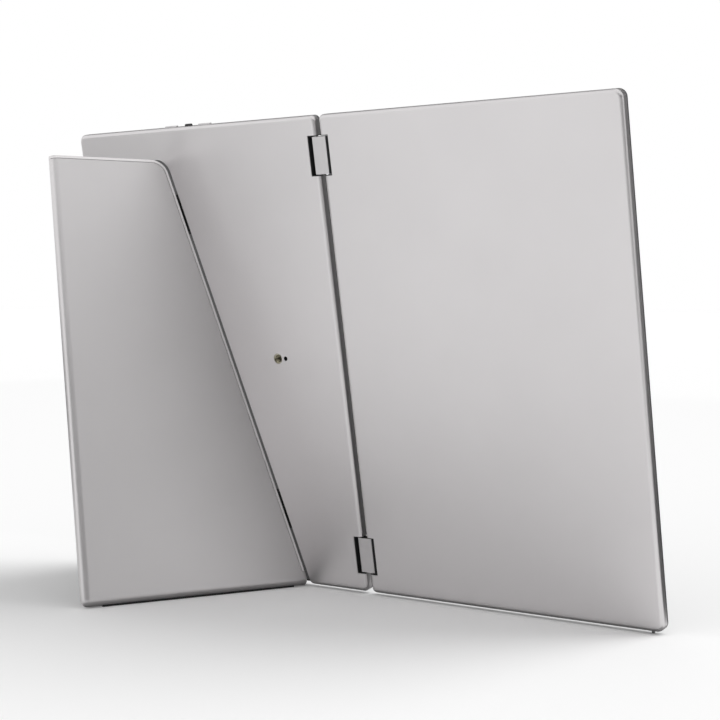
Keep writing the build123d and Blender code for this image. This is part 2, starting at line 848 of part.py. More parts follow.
# Hinge links between the two axes
with BuildPart() as hinge_links:
    for height in hinge_heights:
        with BuildSketch(level(height - link_length / 2)):
            with Locations((0, -mid_depth)):
                SlotCenterToCenter(2 * hinge_axis_x, 2 * knuckle_radius)
            with Locations((hinge_axis_x, -mid_depth), (-hinge_axis_x, -mid_depth)):
                Circle(stub_radius + stub_running_fit, mode=Mode.SUBTRACT)
        extrude(amount=link_length)
        seat = knuckle_radius + link_plate_proud - link_plate_thickness
        with BuildSketch(level(height - link_length / 2)):
            for way in (-1, 1):
                with Locations((0, -mid_depth + way * (seat + link_plate_thickness))):
                    Rectangle(link_plate_width, 2 * link_plate_thickness)
        extrude(amount=link_length, mode=Mode.SUBTRACT)
    # A cross passage for the cable in the upper link
    with BuildSketch(panels.offset(mid_depth - 2 * cable_radius)):
        with Locations((0, hinge_heights[1])):
            Rectangle(2 * hinge_axis_x, 2 * (cable_turn + 2 * cable_radius))
    extrude(amount=4 * cable_radius, mode=Mode.SUBTRACT)
hinge_links.part.label = "hinge_links"
export_step(hinge_links.part, "parts/hinge_links.step")

for face, name in ((-1, "hinge_back_plates"), (1, "hinge_front_plates")):
    outer_face = mid_depth + face * (knuckle_radius + link_plate_proud)
    with BuildPart() as link_plates:
        with BuildSketch(panels.offset(outer_face)):
            with Locations([(0, height) for height in hinge_heights]):
                Rectangle(link_plate_width - 2 * fit, link_length)
        extrude(amount=-face * (link_plate_thickness - fit))
    link_plates.part.label = name
    export_step(link_plates.part, f"parts/{name}.step")

# The cable between the displays: through the upper hinge's hollow lower stubs
cable_top = hinge_heights[1]
cable_joint = cable_top - stub_inner_end - stub_engagement / 2
cable_exit = cable_top - stub_outer_end - 4 * cable_turn
for side, name in ((1, "main_link_cable"), (-1, "second_link_cable")):
    with BuildPart() as cable:
        with BuildLine(panels.offset(mid_depth)) as route:
            FilletPolyline(
                (side * hinge_axis_x, cable_joint - fit),
                (side * hinge_axis_x, cable_exit),
                (side * board_near, cable_exit - cable_turn),
                radius=cable_turn,
            )
        with BuildSketch(Plane(route.line @ 0, z_dir=route.line % 0)):
            Circle(cable_radius)
        sweep()
    cable.part.label = name
    export_step(cable.part, f"parts/{name}.step")

with BuildPart() as hinge_link_cable:
    with BuildLine(panels.offset(mid_depth)) as route:
        FilletPolyline(
            (hinge_axis_x, cable_joint + fit),
            (hinge_axis_x, cable_top),
            (-hinge_axis_x, cable_top),
            (-hinge_axis_x, cable_joint + fit),
            radius=cable_turn,
        )
    with BuildSketch(Plane(route.line @ 0, z_dir=route.line % 0)):
        Circle(cable_radius)
    sweep()
hinge_link_cable.part.label = "hinge_link_cable"
export_step(hinge_link_cable.part, "parts/hinge_link_cable.step")

# Tripod insert
with BuildPart() as tripod_insert:
    with BuildSketch(panels.offset(cover_wall + fit)):
        with Locations((tripod_x, panel_height / 2)):
            Circle(tripod_insert_radius)
    extrude(amount=cover_depth - cover_wall - 2 * fit)
    with BuildSketch(panels.offset(tripod_set_in)):
        with Locations((tripod_x, panel_height / 2)):
            Circle(tripod_thread_radius + tripod_neck_wall)
    extrude(amount=cover_wall + fit - tripod_set_in)
    with BuildSketch(panels.offset(tripod_set_in)):
        with Locations((tripod_x, panel_height / 2)):
            Circle(tripod_thread_radius)
    extrude(amount=tripod_thread_length, mode=Mode.SUBTRACT)
tripod_insert.part.label = "tripod_insert"
export_step(tripod_insert.part, "parts/tripod_insert.step")

# Boards, their chips and their screws
for side, name, far, top in (
    (1, "main", board_far, main_board_top),
    (-1, "second", driver_board_far, driver_board_top),
):
    places = board_screw_places(side, far, top)
    chip_pitch = (top - board_bottom) / (len(chip_sizes) + 1)
    middle_x = side * (board_near + far) / 2
    with BuildPart() as board:
        with BuildSketch(panels.offset(board_depth)):
            with Locations((middle_x, (board_bottom + top) / 2)):
                Rectangle(far - board_near, top - board_bottom)
            with Locations(places):
                Circle(screw_radius + fit, mode=Mode.SUBTRACT)
        extrude(amount=board_thickness)
    board.part.label = f"{name}_board"
    export_step(board.part, f"parts/{name}_board.step")

    with BuildPart() as chips:
        with BuildSketch(panels.offset(board_depth + board_thickness)):
            for row, size in enumerate(chip_sizes, start=1):
                with Locations((middle_x, board_bottom + row * chip_pitch)):
                    Rectangle(size, size)
        extrude(amount=chip_height)
    chips.part.label = f"{name}_board_chips"
    export_step(chips.part, f"parts/{name}_board_chips.step")

    with BuildPart() as board_screws:
        with BuildSketch(panels.offset(board_depth + board_thickness)):
            with Locations(places):
                Circle(screw_head_radius)
        extrude(amount=screw_head_height)
        with BuildSketch(panels.offset(board_depth + board_thickness)):
            with Locations(places):
                Circle(screw_radius)
        extrude(amount=-board_thickness - screw_bite)
    board_screws.part.label = f"{name}_board_screws"
    export_step(board_screws.part, f"parts/{name}_board_screws.step")

# Sockets
with BuildPart() as usb_c_sockets:
    for x in usb_places:
        with BuildSketch(level(socket_mouth)):
            add(control_slot(x, usb_length, usb_height, socket_depth))
        extrude(amount=-usb_reach)
        with BuildSketch(level(socket_mouth)):
            add(control_slot(x, usb_length - 2 * usb_wall, usb_height - 2 * usb_wall, socket_depth))
        extrude(amount=-usb_reach + 2 * usb_wall, mode=Mode.SUBTRACT)
        with BuildSketch(level(socket_rear + usb_wall)):
            with Locations((x, -socket_depth)):
                Rectangle(tongue_length, tongue_height)
        extrude(amount=tongue_reach)
usb_c_sockets.part.label = "usb_c_sockets"
export_step(usb_c_sockets.part, "parts/usb_c_sockets.step")

with BuildPart() as mini_hdmi_socket:
    with BuildSketch(level(socket_mouth)):
        add(hdmi_outline())
    extrude(amount=-usb_reach)
    with BuildSketch(level(socket_mouth)):
        add(hdmi_outline(-hdmi_wall))
    extrude(amount=-usb_reach + 2 * hdmi_wall, mode=Mode.SUBTRACT)
    with BuildSketch(level(socket_rear + hdmi_wall)):
        with Locations((hdmi_place, -socket_depth)):
            Rectangle(hdmi_tongue_length, tongue_height)
    extrude(amount=tongue_reach)
mini_hdmi_socket.part.label = "mini_hdmi_socket"
export_step(mini_hdmi_socket.part, "parts/mini_hdmi_socket.step")

# Buttons on the top edge
for x, name in ((power_button_x, "power_button"), (menu_button_x, "menu_button")):
    with BuildPart() as button:
        with BuildSketch(level(panel_height + button_proud)):
            add(control_slot(x, button_length, button_width, control_depth))
        extrude(amount=-(panel_height + button_proud - flange_top))
        fillet(button.faces().sort_by(Axis(panels.origin, panels.y_dir))[-1].edges(), button_edge_radius)
        with BuildSketch(level(flange_top)):
            flange_width = button_width + 2 * button_flange_side
            add(control_slot(x, button_length + 2 * button_flange, flange_width, control_depth))
        extrude(amount=-button_flange_height)
        with BuildSketch(level(flange_top - button_flange_height)):
            with Locations((x, -control_depth)):
                Circle(button_nub_radius)
        extrude(amount=-button_nub)
        if name == "power_button":
            with BuildSketch(level(panel_height + button_proud)):
                with Locations((x - light_offset, -control_depth)):
                    Circle(light_radius)
            extrude(amount=-light_depth, mode=Mode.SUBTRACT)
    button.part.label = name
    export_step(button.part, f"parts/{name}.step")

with BuildPart() as control_board:
    with BuildSketch(panels.offset(cover_wall + fit)):
        with Locations(((power_button_x + menu_button_x) / 2, switch_top - control_board_height / 2)):
            Rectangle(menu_button_x - power_button_x + button_length, control_board_height)
    extrude(amount=control_board_thickness)
control_board.part.label = "control_board"
export_step(control_board.part, "parts/control_board.step")

with BuildPart() as control_switches:
    with BuildSketch(panels.offset(control_board_front)):
        with Locations(
            (power_button_x, switch_top - switch_height / 2), (menu_button_x, switch_top - switch_height / 2)
        ):
            Rectangle(switch_length, switch_height)
    extrude(amount=2 * (control_depth - control_board_front))
control_switches.part.label = "control_switches"
export_step(control_switches.part, "parts/control_switches.step")

# The five-way joystick: a plunger that presses, a rocker on it, and the stick on the rocker
with BuildPart() as joystick_housing:
    with BuildSketch(panels.offset(control_board_front)):
        with Locations((joystick_x, (housing_bottom + housing_top) / 2)):
            Rectangle(2 * (plunger_half_length + slide_gap + housing_wall), housing_top - housing_bottom)
    extrude(amount=2 * (control_depth - control_board_front))
    with BuildSketch(level(housing_top)):
        with Locations((joystick_x, -control_depth)):
            Rectangle(2 * (plunger_half_length + slide_gap), 2 * (plunger_half_depth + slide_gap))
    extrude(amount=-(housing_top - housing_bottom - housing_wall), mode=Mode.SUBTRACT)
joystick_housing.part.label = "joystick_housing"
export_step(joystick_housing.part, "parts/joystick_housing.step")

with BuildPart() as joystick_plunger:
    with BuildSketch(level(plunger_top)):
        with Locations((joystick_x, -control_depth)):
            Rectangle(2 * plunger_half_length, 2 * plunger_half_depth)
    extrude(amount=-plunger_height)
    with BuildSketch(level(plunger_top)):
        with Locations((joystick_x, -control_depth)):
            Rectangle(2 * lug_reach, 2 * lug_half)
    extrude(amount=rocker_height + lug_reach - plunger_top)
    with BuildSketch(panels.offset(control_depth - plunger_half_depth)):
        with Locations((joystick_x, rocker_height)):
            Circle(pivot_radius + pivot_fit)
    extrude(amount=2 * plunger_half_depth, mode=Mode.SUBTRACT)
joystick_plunger.part.label = "joystick_plunger"
export_step(joystick_plunger.part, "parts/joystick_plunger.step")

with BuildPart() as joystick_rocker:
    with BuildSketch(level(rocker_height - cheek_drop)):
        for way in (-1, 1):
            with Locations((joystick_x, -control_depth + way * (lug_half + cheek_gap + cheek_thickness / 2))):
                Rectangle(2 * lug_reach, cheek_thickness)
    extrude(amount=bridge_bottom(rocker_height) - rocker_height + cheek_drop)
    with BuildSketch(level(bridge_bottom(rocker_height))):
        with Locations((joystick_x, -control_depth)):
            Rectangle(2 * lug_reach, 2 * cheek_reach)
    extrude(amount=bridge_height)
    with BuildSketch(level(bridge_bottom(rocker_height) + bridge_height)):
        with Locations((joystick_x, -control_depth)):
            Rectangle(2 * lug_half, 2 * lug_reach)
    extrude(amount=stick_height + lug_reach - bridge_bottom(rocker_height) - bridge_height)
    with BuildSketch(upright(joystick_x - lug_half)):
        with Locations((stick_height, control_depth)):
            Circle(pivot_radius + pivot_fit)
    extrude(amount=2 * lug_half, mode=Mode.SUBTRACT)
    with BuildSketch(panels.offset(control_depth - cheek_reach)):
        with Locations((joystick_x, rocker_height)):
            Circle(pivot_radius)
    extrude(amount=2 * cheek_reach)
joystick_rocker.part.label = "joystick_rocker"
export_step(joystick_rocker.part, "parts/joystick_rocker.step")

with BuildPart() as joystick_stick:
    with BuildSketch(level(stick_height - cheek_drop)):
        for way in (-1, 1):
            with Locations((joystick_x + way * (lug_half + cheek_gap + cheek_thickness / 2), -control_depth)):
                Rectangle(cheek_thickness, 2 * lug_reach)
    extrude(amount=bridge_bottom(stick_height) - stick_height + cheek_drop)
    with BuildSketch(level(bridge_bottom(stick_height))):
        with Locations((joystick_x, -control_depth)):
            Rectangle(2 * cheek_reach, 2 * lug_reach)
    extrude(amount=bridge_height)
    with BuildSketch(level(bridge_bottom(stick_height) + bridge_height)):
        with Locations((joystick_x, -control_depth)):
            Circle(stem_radius)
    extrude(amount=cap_bottom + stem_seat - bridge_bottom(stick_height) - bridge_height)
    with BuildSketch(upright(joystick_x - cheek_reach)):
        with Locations((stick_height, control_depth)):
            Circle(pivot_radius)
    extrude(amount=2 * cheek_reach)
joystick_stick.part.label = "joystick_stick"
export_step(joystick_stick.part, "parts/joystick_stick.step")

with BuildPart() as joystick_cap:
    with BuildSketch(level(cap_bottom)):
        add(control_slot(joystick_x, joystick_cap_length, joystick_cap_width, control_depth))
    extrude(amount=joystick_cap_height)
    cap_top = joystick_cap.faces().sort_by(Axis(panels.origin, panels.y_dir))[-1]
    fillet(cap_top.edges(), joystick_dome_radius)
    with BuildSketch(level(cap_bottom)):
        with Locations((joystick_x, -control_depth)):
            Circle(stem_radius + fit)
    extrude(amount=stem_seat, mode=Mode.SUBTRACT)
joystick_cap.part.label = "joystick_cap"
export_step(joystick_cap.part, "parts/joystick_cap.step")

# Fixed tracks of the stand's curved hinges
with BuildPart() as stand_hinge_tracks:
    for along in track_places:
        under_cover = -stand_axis_proud - cover_wall - fit
        under_recess = -stand_axis_proud - recess_depth - fit
        low = -stand_axis_proud - cover_depth + fit
        with BuildSketch(hinge_line_section(stand_axis, along - track_length / 2)):
            with BuildLine():
                Polyline(
                    (-track_reach, under_cover),
                    (-stand_gap / 2 - fit, under_cover),
                    (-stand_gap / 2 - fit, under_recess),
                    (track_mouth, under_recess),
                    (track_mouth, low),
                    (-track_body, low),
                    (-track_body, under_cover - track_flange_height),
                    (-track_reach, under_cover - track_flange_height),
                    close=True,
                )
            make_face()
        extrude(amount=track_length)
        with BuildSketch(hinge_line_section(stand_axis, along - arm_length / 2 - track_clearance)):
            sweep_angle = arm_end_angle + track_end_room - arm_root_angle
            add(arc_band(track_inner_radius, track_outer_radius, arm_root_angle, sweep_angle))
        extrude(amount=arm_length + 2 * track_clearance, mode=Mode.SUBTRACT)
    with BuildSketch(stand_axis.offset(stand_axis_proud + cover_wall)):
        with Locations(track_screw_places):
            Circle(screw_radius + fit)
    extrude(amount=2 * track_flange_height, mode=Mode.SUBTRACT)
stand_hinge_tracks.part.label = "stand_hinge_tracks"
export_step(stand_hinge_tracks.part, "parts/stand_hinge_tracks.step")

with BuildPart() as stand_track_screws:
    head_seat = stand_axis_proud + cover_wall + fit + track_flange_height
    with BuildSketch(stand_axis.offset(head_seat)):
        with Locations(track_screw_places):
            Circle(screw_head_radius)
    extrude(amount=screw_head_height)
    with BuildSketch(stand_axis.offset(head_seat)):
        with Locations(track_screw_places):
            Circle(screw_radius)
    extrude(amount=-track_flange_height - track_screw_bite)
stand_track_screws.part.label = "stand_track_screws"
export_step(stand_track_screws.part, "parts/stand_track_screws.step")

with BuildPart() as stand_magnets:
    with BuildSketch(panels.offset(recess_floor + fit)):
        with Locations([(outer_x - magnet_inset, height) for height in magnet_places]):
            Circle(magnet_radius)
    extrude(amount=magnet_thickness)
stand_magnets.part.label = "stand_magnets"
export_step(stand_magnets.part, "parts/stand_magnets.step")

# Stand: the flap, drawn shut in its own frame, whose plane is already swung open
with BuildPart() as stand_plate:
    with BuildSketch(stand.offset(stand_axis_proud)):
        add(stand_outline())
    extrude(amount=stand_side_depth)
    back_face = stand_plate.faces().sort_by(stand_depth)[0]
    rim_edges = back_face.edges().filter_by(is_rim_edge)
    chamfer(rim_edges, length=stand_rim_width, length2=stand_rim_drop, reference=back_face)
    back_edges = stand_plate.edges().group_by(stand_depth)[0]
    rolled = back_edges.sort_by(stand_across)[-2:] + back_edges.sort_by(stand_up)[:1]
    fillet(rolled, stand_roll_radius)
    with BuildSketch(stand.offset(stand_axis_proud + stand_thickness)):
        add(stand_hollow())
    extrude(amount=stand_side_depth - stand_thickness, mode=Mode.SUBTRACT)
    with BuildSketch(stand.offset(stand_axis_proud + stand_thickness)):
        with Locations([(outer_x - magnet_inset - stand_axis_x, height) for height in magnet_places]):
            Circle(magnet_radius + fit)
    extrude(amount=-catch_thickness, mode=Mode.SUBTRACT)
    with BuildSketch(open_axis.offset(stand_axis_proud + stand_thickness)):
        with Locations(arm_screw_places):
            Circle(screw_hole_radius)
    extrude(amount=-arm_screw_bite, mode=Mode.SUBTRACT)
    with BuildSketch(stand.offset(stand_axis_proud + stand_side_depth - stand_foot_width - fit)):
        with Locations((stand_foot_middle, 0)):
            Rectangle(stand_foot_length + 2 * fit, 2 * foot_seat)
    extrude(amount=stand_foot_width + 2 * fit, mode=Mode.SUBTRACT)
stand_plate.part.label = "stand_plate"
export_step(stand_plate.part, "parts/stand_plate.step")

with BuildPart() as stand_hinge_arms:
    for along in track_places:
        leaf_face = -stand_axis_proud - stand_thickness - fit
        with BuildSketch(hinge_line_section(open_axis, along - arm_length / 2)):
            with Locations(((leaf_near + leaf_far) / 2, leaf_face - leaf_thickness / 2)):
                Rectangle(leaf_far - leaf_near, leaf_thickness)
            add(arc_band(arm_inner_radius, arm_outer_radius, arm_root_angle, arm_end_angle - arm_root_angle))
        extrude(amount=arm_length)
    with BuildSketch(open_axis.offset(stand_axis_proud + stand_thickness)):
        with Locations(arm_screw_places):
            Circle(screw_radius + fit)
    extrude(amount=2 * leaf_thickness, mode=Mode.SUBTRACT)
stand_hinge_arms.part.label = "stand_hinge_arms"
export_step(stand_hinge_arms.part, "parts/stand_hinge_arms.step")

with BuildPart() as stand_arm_screws:
    head_seat = stand_axis_proud + stand_thickness + fit + leaf_thickness
    with BuildSketch(open_axis.offset(head_seat)):
        with Locations(arm_screw_places):
            Circle(screw_head_radius)
    extrude(amount=screw_head_height)
    with BuildSketch(open_axis.offset(head_seat)):
        with Locations(arm_screw_places):
            Circle(screw_radius)
    extrude(amount=-leaf_thickness - arm_screw_bite)
stand_arm_screws.part.label = "stand_arm_screws"
export_step(stand_arm_screws.part, "parts/stand_arm_screws.step")

with BuildPart() as stand_catch_plates:
    with BuildSketch(stand.offset(stand_axis_proud + stand_thickness)):
        with Locations([(outer_x - magnet_inset - stand_axis_x, height) for height in magnet_places]):
            Circle(magnet_radius)
    extrude(amount=-catch_thickness + fit)
stand_catch_plates.part.label = "stand_catch_plates"
export_step(stand_catch_plates.part, "parts/stand_catch_plates.step")

# Rubber feet, cut level with the floor
with BuildPart() as stand_foot:
    with BuildSketch(stand.offset(stand_axis_proud + stand_side_depth - stand_foot_width)):
        with Locations((stand_foot_middle, 0)):
            Rectangle(stand_foot_length, 2 * (foot_seat - fit))
        with Locations((stand_foot_middle, -panel_gap / 2)):
            Rectangle(stand_foot_length, panel_gap)
    extrude(amount=stand_foot_width)
    split(bisect_by=Plane.XY, keep=Keep.TOP)
stand_foot.part.label = "stand_foot"
export_step(stand_foot.part, "parts/stand_foot.step")

with BuildPart() as second_foot:
    with BuildSketch(level(foot_seat - fit)):
        with Locations((-(outer_x - foot_inset), -foot_centre_depth)):
            SlotOverall(foot_depth, foot_length, rotation=90)
    extrude(amount=-panel_gap - panel_lift)
    split(bisect_by=Plane.XY, keep=Keep.TOP)
second_foot.part.label = "second_foot"
export_step(second_foot.part, "parts/second_foot.step")
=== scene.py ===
"""Dresses a folding pair of portable monitors that stands open on its slanted stand.

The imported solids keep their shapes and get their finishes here. The pieces that are too fine for
the solids are modelled on top of them, and the camera, floor and lights are set up around them.
Metres, +Z up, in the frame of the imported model: the screens face -Y.
"""
from __future__ import annotations

import json
import logging
import math
from collections.abc import Callable
from dataclasses import dataclass, field
from enum import Enum
from typing import Any

import bpy
from mathutils import Matrix, Vector

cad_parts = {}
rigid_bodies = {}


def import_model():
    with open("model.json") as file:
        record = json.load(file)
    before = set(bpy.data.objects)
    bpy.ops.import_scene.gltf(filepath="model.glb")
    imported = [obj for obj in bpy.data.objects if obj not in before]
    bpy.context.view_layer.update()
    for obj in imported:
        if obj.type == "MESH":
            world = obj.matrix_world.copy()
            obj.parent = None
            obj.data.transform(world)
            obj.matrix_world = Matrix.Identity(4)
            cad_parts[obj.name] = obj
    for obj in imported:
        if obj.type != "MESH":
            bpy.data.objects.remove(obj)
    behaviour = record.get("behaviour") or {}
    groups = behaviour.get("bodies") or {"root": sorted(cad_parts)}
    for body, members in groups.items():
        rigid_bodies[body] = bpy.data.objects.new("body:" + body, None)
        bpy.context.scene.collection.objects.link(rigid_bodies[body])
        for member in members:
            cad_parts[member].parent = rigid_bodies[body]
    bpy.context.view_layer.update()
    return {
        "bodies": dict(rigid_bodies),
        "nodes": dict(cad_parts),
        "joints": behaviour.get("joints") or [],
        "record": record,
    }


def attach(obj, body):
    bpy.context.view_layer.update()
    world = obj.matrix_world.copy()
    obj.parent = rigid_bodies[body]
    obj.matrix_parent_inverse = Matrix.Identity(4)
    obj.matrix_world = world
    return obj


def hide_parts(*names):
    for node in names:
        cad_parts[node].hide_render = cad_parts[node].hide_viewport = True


log = logging.getLogger("monitor_scene")
MM = 0.001
NOISE_SPAN = (0.3, 0.7)
NOISE_DETAIL = 3.0
REGION_BORDER = 0.00003
SMOOTH_ANGLE = math.radians(35.0)
MERGE_DISTANCE = 0.000002
NEARLY = 0.99
Piece = bpy.types.Object
Material = bpy.types.Material
NodeSocket = bpy.types.NodeSocket
Plane = tuple[Vector, float]
Triple = tuple[float, float, float]


class Body(str, Enum):
    """The rigid bodies that new pieces ride on."""

    MAIN = "main_display"
    STAND = "stand"
    POWER = "power_button"


class Slot(str, Enum):
    """The record's material slots that new pieces are handed with; they are not read."""

    SILVER = "silver_aluminium"
    BLACK = "black_plastic"
    STEEL = "steel"
    BRASS = "brass"
    DARK_METAL = "black_metal"


class Side(str, Enum):
    """The two displays."""

    MAIN = "main"
    SECOND = "second"


class Tree:
    """A node tree, with the steps that the materials and the surround share."""

    def __init__(self, tree: bpy.types.NodeTree) -> None:
        """Takes hold of a node tree."""
        self.tree = tree

    def node(self, kind: str, values: dict[str | int, Any] | None = None, **settings: Any) -> bpy.types.Node:
        """Adds a node.

        Args:
            kind: The node's type name.
            values: The values of some of its inputs.
            **settings: Properties that are set on the node.

        Returns:
            The new node.
        """
        made = self.tree.nodes.new(kind)
        for key, value in settings.items():
            setattr(made, key, value)
        for key, value in (values or {}).items():
            made.inputs[key].default_value = value
        return made

    def link(self, source: NodeSocket, target: NodeSocket) -> None:
        """Joins two sockets."""
        self.tree.links.new(source, target)

    def math(self, operation: str, first: NodeSocket, second: NodeSocket) -> NodeSocket:
        """Joins two values by a mathematical operation.

        Args:
            operation: The operation's name.
            first: The first value.
            second: The second value.

        Returns:
            The result socket.
        """
        joined = self.node("ShaderNodeMath", operation=operation)
        self.link(first, joined.inputs[0])
        self.link(second, joined.inputs[1])
        return joined.outputs[0]


class Graph(Tree):
    """A small material graph with one principled shader."""

    def __init__(self, name: str) -> None:
        """Starts an empty material.

        Args:
            name: The material's name.
        """
        self.material = bpy.data.materials.new(name)
        self.material.use_nodes = True
        super().__init__(self.material.node_tree)
        self.shader = self.tree.nodes["Principled BSDF"]
        self.coordinates = self.node("ShaderNodeTexCoord").outputs["Object"]

    def give(self, values: dict[str, Any]) -> None:
        """Sets the values of some of the shader's inputs."""
        for name, value in values.items():
            self.shader.inputs[name].default_value = value

    def noise(self, size: float, stretch: Triple | None = None) -> NodeSocket:
        """Adds a noise pattern in object space.

        Args:
            size: The pattern's feature size in metres.
            stretch: Scale along each axis before the pattern, for drawn or brushed looks.

        Returns:
            The pattern's value socket.
        """
        texture = self.node("ShaderNodeTexNoise", {"Scale": 1.0 / size, "Detail": NOISE_DETAIL})
        source = self.coordinates
        if stretch is not None:
            mapping = self.node("ShaderNodeMapping", {"Scale": stretch})
            self.link(source, mapping.inputs["Vector"])
            source = mapping.outputs["Vector"]
        self.link(source, texture.inputs["Vector"])
        return texture.outputs["Fac"]

    def ramp(
        self, value: NodeSocket, start: float, end: float, low: float = 0.0, high: float = 1.0
    ) -> NodeSocket:
        """Maps a value's range to new limits, held at both ends.

        Args:
            value: The value.
            start: Where the range starts.
            end: Where it ends.
            low: What the start becomes.
            high: What the end becomes.

        Returns:
            The mapped value socket.
        """
        limits = {"From Min": start, "From Max": end, "To Min": low, "To Max": high}
        mapped = self.node("ShaderNodeMapRange", limits)
        self.link(value, mapped.inputs["Value"])
        return mapped.outputs["Result"]

    def inside(self, planes: tuple[Plane, ...]) -> NodeSocket:
        """Marks the space on the near side of several planes.

        Args:
            planes: Each plane's direction, and the distance along it at which the space starts.

        Returns:
            A socket that is 1 inside and 0 outside.
        """
        mask: NodeSocket | None = None
        for direction, start in planes:
            along = self.node("ShaderNodeVectorMath", {1: direction}, operation="DOT_PRODUCT")
            self.link(self.coordinates, along.inputs[0])
            part = self.ramp(along.outputs["Value"], start - REGION_BORDER, start + REGION_BORDER)
            mask = part if mask is None else self.math("MULTIPLY", mask, part)
        return mask

    def cover(self, mask: NodeSocket, name: str, value: float | Triple) -> None:
        """Lays another value over one of the shader's sockets where a mask is set.

        Args:
            mask: Where the other value shows.
            name: The socket's name.
            value: The other number or colour.
        """
        target = self.shader.inputs[name]
        colour = isinstance(value, tuple)
        under, over, result = (6, 7, 2) if colour else (2, 3, 0)
        top = (*value, 1.0) if colour else value
        blend = self.node("ShaderNodeMix", {over: top}, data_type="RGBA" if colour else "FLOAT")
        self.link(mask, blend.inputs[0])
        if target.is_linked:
            self.link(target.links[0].from_socket, blend.inputs[under])
        else:
            blend.inputs[under].default_value = target.default_value
        self.link(blend.outputs[result], target)

    def plain(self, tone: float, roughness: float, specular: float) -> Material:
        """Makes the shader an even grey, for the stage.

        Args:
            tone: The linear grey.
            roughness: The roughness.
            specular: How strong the gloss is.

        Returns:
            The material.
        """
        grey = (tone, tone, tone, 1.0)
        self.give({"Base Color": grey, "Roughness": roughness, "Specular IOR Level": specular})
        return self.material

    def bump(self, height: NodeSocket, strength: float, distance: float) -> None:
        """Puts a bump on the shader's normal.

        Args:
            height: The height pattern.
            strength: How much of it shows.
            distance: Its depth in metres.
        """
        bump = self.node("ShaderNodeBump", {"Strength": strength, "Distance": distance})
        self.link(height, bump.inputs["Height"])
        self.link(bump.outputs["Normal"], self.shader.inputs["Normal"])


@dataclass(frozen=True)
class Grain:
    """The fine grain of a surface.

    Attributes:
        size: The size of its features, in metres.
        depth: Its depth, in metres.
        strength: How much of it shows.
        stretch: How much finer it is along each axis, for drawn metal.
    """

    size: float = 0.0005
    depth: float = 0.00002
    strength: float = 0.3
    stretch: Triple | None = None


@dataclass(frozen=True)
class Finish:
    """A surface with grain, uneven tone and uneven gloss, and a clear coat where it has one.

    Attributes:
        name: The material's name.
        colour: The linear base colour.
        roughness: The lowest and highest roughness.
        metallic: 1 for bare metal, 0 for the rest.
        tone: How far the colour wanders up and down, as a share.
        tone_size: The size of that wandering, in metres.
        grain: The surface grain.
        coat: How strong the clear coat is.
        coat_roughness: How blurred the coat's reflections are.
    """

    name: str
    colour: Triple
    roughness: tuple[float, float]
    metallic: float = 0.0
    tone: float = 0.03
    tone_size: float = 0.03
    grain: Grain = Grain()
    coat: float = 0.0
    coat_roughness: float = 0.03

    def shade(self, share: float) -> Triple:
        """Returns the base colour made lighter or darker by a share."""
        return tuple(min(1.0, channel * (1.0 + share)) for channel in self.colour)

    def material(self) -> Material:
        """Builds the procedural material.

        Returns:
            The finished material.
        """
        graph = Graph(self.name)
        graph.give({
            "Base Color": (*self.shade(-self.tone), 1.0), "Metallic": self.metallic,
            "Coat Weight": self.coat, "Coat Roughness": self.coat_roughness,
        })
        grain = graph.noise(self.grain.size, self.grain.stretch)
        tone = graph.ramp(graph.noise(self.tone_size), *NOISE_SPAN)
        graph.cover(tone, "Base Color", self.shade(self.tone))
        graph.link(graph.ramp(grain, *NOISE_SPAN, *self.roughness), graph.shader.inputs["Roughness"])
        graph.bump(grain, self.grain.strength, self.grain.depth)
        self.refine(graph)
        return graph.material

    def refine(self, graph: Graph) -> None:
        """Adds what one kind of finish has beyond the common grain; nothing by default."""


@dataclass(frozen=True)
class Region:
    """A space of one solid that has a look of its own and is never metal.

    Attributes:
        planes: The planes around the space.
        colour: The linear colour inside it.
        roughness: The roughness inside it.
    """

    planes: tuple[Plane, ...]
    colour: Triple = (0.012, 0.012, 0.013)
    roughness: float = 0.6


@dataclass(frozen=True)
class PartedFinish(Finish):
    """A finish that changes inside marked regions of one solid.

    Attributes:
        regions: The marked regions.
    """

    regions: tuple[Region, ...] = ()

    @classmethod
    def over(cls, base: Finish, name: str, regions: tuple[Region, ...]) -> PartedFinish:
        """Returns a plain finish under a new name, with marked regions."""
        return cls(**vars(base) | {"name": name, "regions": regions})

    def refine(self, graph: Graph) -> None:
        """Lays each region's look over the common one.

        Args:
            graph: The material's graph.
        """
        for region in self.regions:
            mask = graph.inside(region.planes)
            graph.cover(mask, "Base Color", region.colour)
            graph.cover(mask, "Roughness", region.roughness)
            if self.metallic:
                graph.cover(mask, "Metallic", 0.0)


